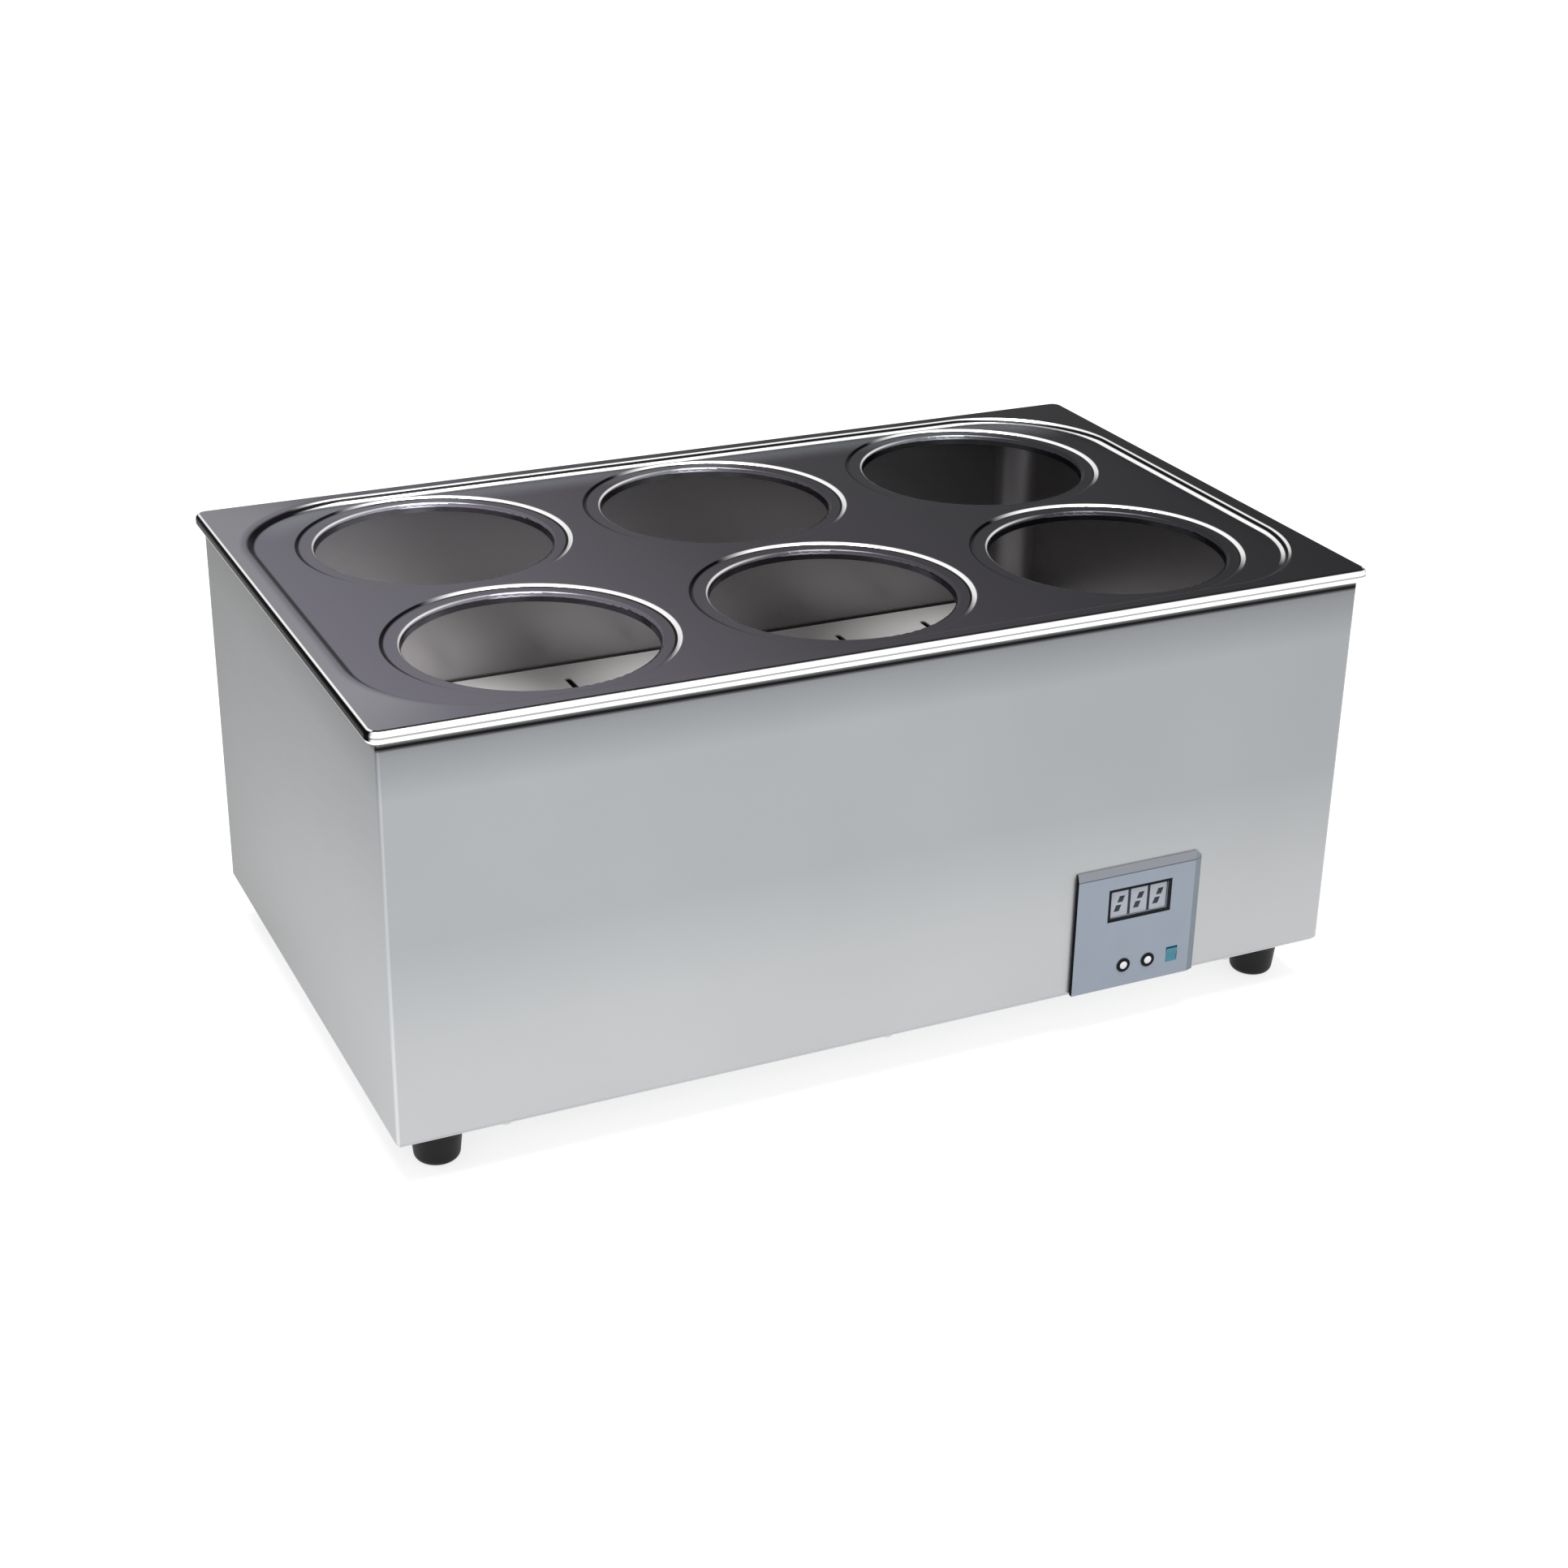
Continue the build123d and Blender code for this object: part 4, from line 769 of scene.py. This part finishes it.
# %% Put each finish on its nodes
by_slot = {
    "casing_steel": casing_steel,
    "cover_steel": cover_steel,
    "tank_steel": tank_steel,
    "base_steel": base_steel,
    "fastener_steel": fastener_steel,
    "foot_rubber": foot_rubber,
    "seal_silicone": seal_silicone,
    "lagging_wool": lagging_wool,
    "heater_sheath": heater_sheath,
    "gland_brass": gland_brass,
    "terminal_bead": terminal_bead,
    "fascia_plastic": fascia_plastic,
    "window_plastic": window_plastic,
    "module_plastic": black_plastic,
    "button_plastic": button_plastic,
    "black_plastic": black_plastic,
    "rocker_plastic": rocker_plastic,
    "board_laminate": board_laminate,
    "coil_tape": coil_tape,
    "core_iron": core_iron,
    "relay_plastic": relay_plastic,
    "blade_brass": blade_brass,
}
by_node = {"shelf": shelf_steel, "drain_plug": plug_steel, "drain_nipple": plug_steel}
for entry in frame["record"]["subparts"]:
    finish = by_node.get(entry["node"], by_slot[entry["material_slot"]])
    for slot in nodes[entry["node"]].material_slots:
        slot.material = finish


# %% [markdown]
# ## Meshes from arrays
#
# The digits and the floor are flat grids, so two helpers make both: one turns a grid of
# points into quads, and the other puts points and quads into the scene as a piece.


# %% Define the mesh helpers
def add_mesh(name, points, faces, finish):
    """A mesh object from arrays of points and faces, with its place in the mesh."""
    mesh = bpy.data.meshes.new(name)
    mesh.from_pydata(points.tolist(), [], faces.tolist())
    mesh.validate()
    mesh.materials.append(finish)
    piece = bpy.data.objects.new(name, mesh)
    bpy.context.scene.collection.objects.link(piece)
    return piece


def grid_faces(columns, rows):
    """The quads of a grid of points that runs along x first, as (rows, columns, 4)."""
    low = np.arange(rows)[:, None] * (columns + 1) + np.arange(columns)
    return np.stack([low, low + 1, low + columns + 2, low + columns + 1], -1)


print("mesh helpers ready")

# %% [markdown]
# ## Digits that are switched off
#
# The display is off, so each digit is a pale plate that fills its cell, with two dark
# slanted holes: the counters of a figure of eight. A plate is a grid of lines, three
# gaps wide and five high, and all its faces are kept but the two counters. The slant is
# a shear, which moves the inner points sideways by their height.

# %% Build the digit plates
DIGITS = 3
SLANT = math.radians(20.0)
CELL_GAP = 1.8 * MM
STROKE_SHARE = 0.34
BAR = 3.2 * MM
PLATE_LIFT = 0.06 * MM
cell = 2 * clear_half.x / DIGITS
half_w, half_h = (cell - CELL_GAP) / 2, min((module_high.z - module_low.z) / 2, clear_half.z)
stroke = 2 * half_w * STROKE_SHARE
line_x = np.array([-half_w, stroke - half_w, half_w - stroke, half_w])
line_z = np.array([-half_h, BAR - half_h, -BAR / 4, BAR / 4, half_h - BAR, half_h])
plate_x, plate_z = np.meshgrid(line_x, line_z)
inner = (abs(plate_x) < half_w) & (abs(plate_z) < half_h)
plate_x = plate_x + inner * plate_z * math.tan(SLANT)
kept = np.ones((5, 3), bool)
kept[[1, 3], 1] = False
plate_faces = grid_faces(3, 5)[kept]
centres = window_middle.x - clear_half.x + cell * (np.arange(DIGITS) + 0.5)
plates = np.stack(
    [
        plate_x + centres[:, None, None],
        np.full((DIGITS, *plate_x.shape), module_low.y - PLATE_LIFT),
        plate_z + window_middle.z + 0 * centres[:, None, None],
    ],
    -1,
)
starts = np.arange(DIGITS)[:, None, None] * plate_x.size
digit_plastic = moulded("pale_digit_plate", (0.6, 0.63, 0.72), 0.35, pebble=0.03)
all_faces = (plate_faces + starts).reshape(-1, 4)
digits = add_mesh("digit_plates", plates.reshape(-1, 3), all_faces, digit_plastic)
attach(digits, "housing")
print("digit plates:", DIGITS)

# %% [markdown]
# ## Studio
#
# The floor is a wide pale sheet. It is white to the camera and in reflections through
# Light Path, and still takes the object's soft shadow, because only part of its light
# comes from emission. The world does the same and lights the bath evenly.

# %% Lay the floor and light the world
FLOOR_REACH = 6.0
FLOOR_GLOW = 0.72
ROOM_LIGHT = 0.75
edge = np.linspace(-FLOOR_REACH, FLOOR_REACH, 3)
grid_x, grid_y = np.meshgrid(edge, edge)
floor_points = np.stack([grid_x, grid_y, np.zeros_like(grid_x)], -1).reshape(-1, 3)
floor_faces = grid_faces(2, 2).reshape(-1, 4)


def seen_directly(graph):
    """1 for camera, glossy and transmission rays, 0 for light that bounces diffusely."""
    rays = graph.add("ShaderNodeLightPath").outputs
    mirrored = graph.math("MAXIMUM", rays["Is Camera Ray"], rays["Is Glossy Ray"])
    return graph.math("MAXIMUM", mirrored, rays["Is Transmission Ray"])


floor_finish, graph, shader = start("pale_floor", Roughness=0.9)
shader.inputs["Base Color"].default_value = (0.35, 0.35, 0.35, 1.0)
shader.inputs["Emission Color"].default_value = (1.0, 1.0, 1.0, 1.0)
graph.link(graph.math("MULTIPLY", seen_directly(graph), FLOOR_GLOW), shader, "Emission Strength")
floor = add_mesh("floor", floor_points, floor_faces, floor_finish)

world = bpy.data.worlds.new("studio")
world.use_nodes = True
bpy.context.scene.world = world
graph = Graph(world.node_tree)
background = world.node_tree.nodes["Background"]
background.inputs["Color"].default_value = (1.0, 1.0, 1.0, 1.0)
graph.link(graph.rescale(seen_directly(graph), 0.0, 1.0, ROOM_LIGHT, 1.0), background, "Strength")
print("floor reach:", FLOOR_REACH)


# %% [markdown]
# ## Lamps
#
# One large soft lamp from the front gives the forms their direction, and a wide sun from
# straight above reaches through the openings to the shelf.


# %% Hang the soft lamps
KEY_PLACE = Vector((-0.5, -2.9, 2.0))
KEY_TARGET = Vector((0.0, 0.0, 0.15))


def hang(light, place_and_turn):
    """Puts a light in the scene."""
    lamp = bpy.data.objects.new(light.name, light)
    lamp.matrix_world = place_and_turn
    bpy.context.scene.collection.objects.link(lamp)


key_light = bpy.data.lights.new("key_front", "AREA")
key_light.size = 1.8
key_light.energy = 26.0
aim = (KEY_PLACE - KEY_TARGET).to_track_quat("Z", "Y").to_matrix().to_4x4()
hang(key_light, Matrix.Translation(KEY_PLACE) @ aim)
overhead = bpy.data.lights.new("overhead", "SUN")
overhead.energy = 3.0
overhead.angle = math.radians(35.0)
hang(overhead, Matrix.Identity(4))
print("lamps:", key_light.name, overhead.name)

# %% [markdown]
# ## Camera
#
# The view repeats the photograph: the camera looks down from the front left, through a
# lens of about 60 mm. Its turn, pitch and roll were worked out from the bath's own
# edges, and the axes below are that turn, written out.

# %% Set the camera
YAW, PITCH, ROLL = (math.radians(angle) for angle in (25.484, 25.091, 1.008))
CAMERA_PLACE = Vector((-0.5881, -1.2564, 0.7557))
LENS = 60.04
ahead = Vector((math.sin(YAW) * math.cos(PITCH), math.cos(YAW) * math.cos(PITCH), -math.sin(PITCH)))
level_right = Vector((math.cos(YAW), -math.sin(YAW), 0))
level_up = level_right.cross(ahead)
right = level_right * math.cos(ROLL) + level_up * math.sin(ROLL)
up = level_up * math.cos(ROLL) - level_right * math.sin(ROLL)
camera_data = bpy.data.cameras.new("camera")
camera_data.lens = LENS
camera_data.sensor_width = 36.0
camera_data.clip_end = 100.0
camera = bpy.data.objects.new("camera", camera_data)
turn = Matrix((right, up, -ahead)).transposed().to_4x4()
camera.matrix_world = Matrix.Translation(CAMERA_PLACE) @ turn
bpy.context.scene.collection.objects.link(camera)
bpy.context.scene.camera = camera
bpy.context.scene.view_settings.view_transform = "Standard"
print("camera at:", [round(v, 3) for v in CAMERA_PLACE])
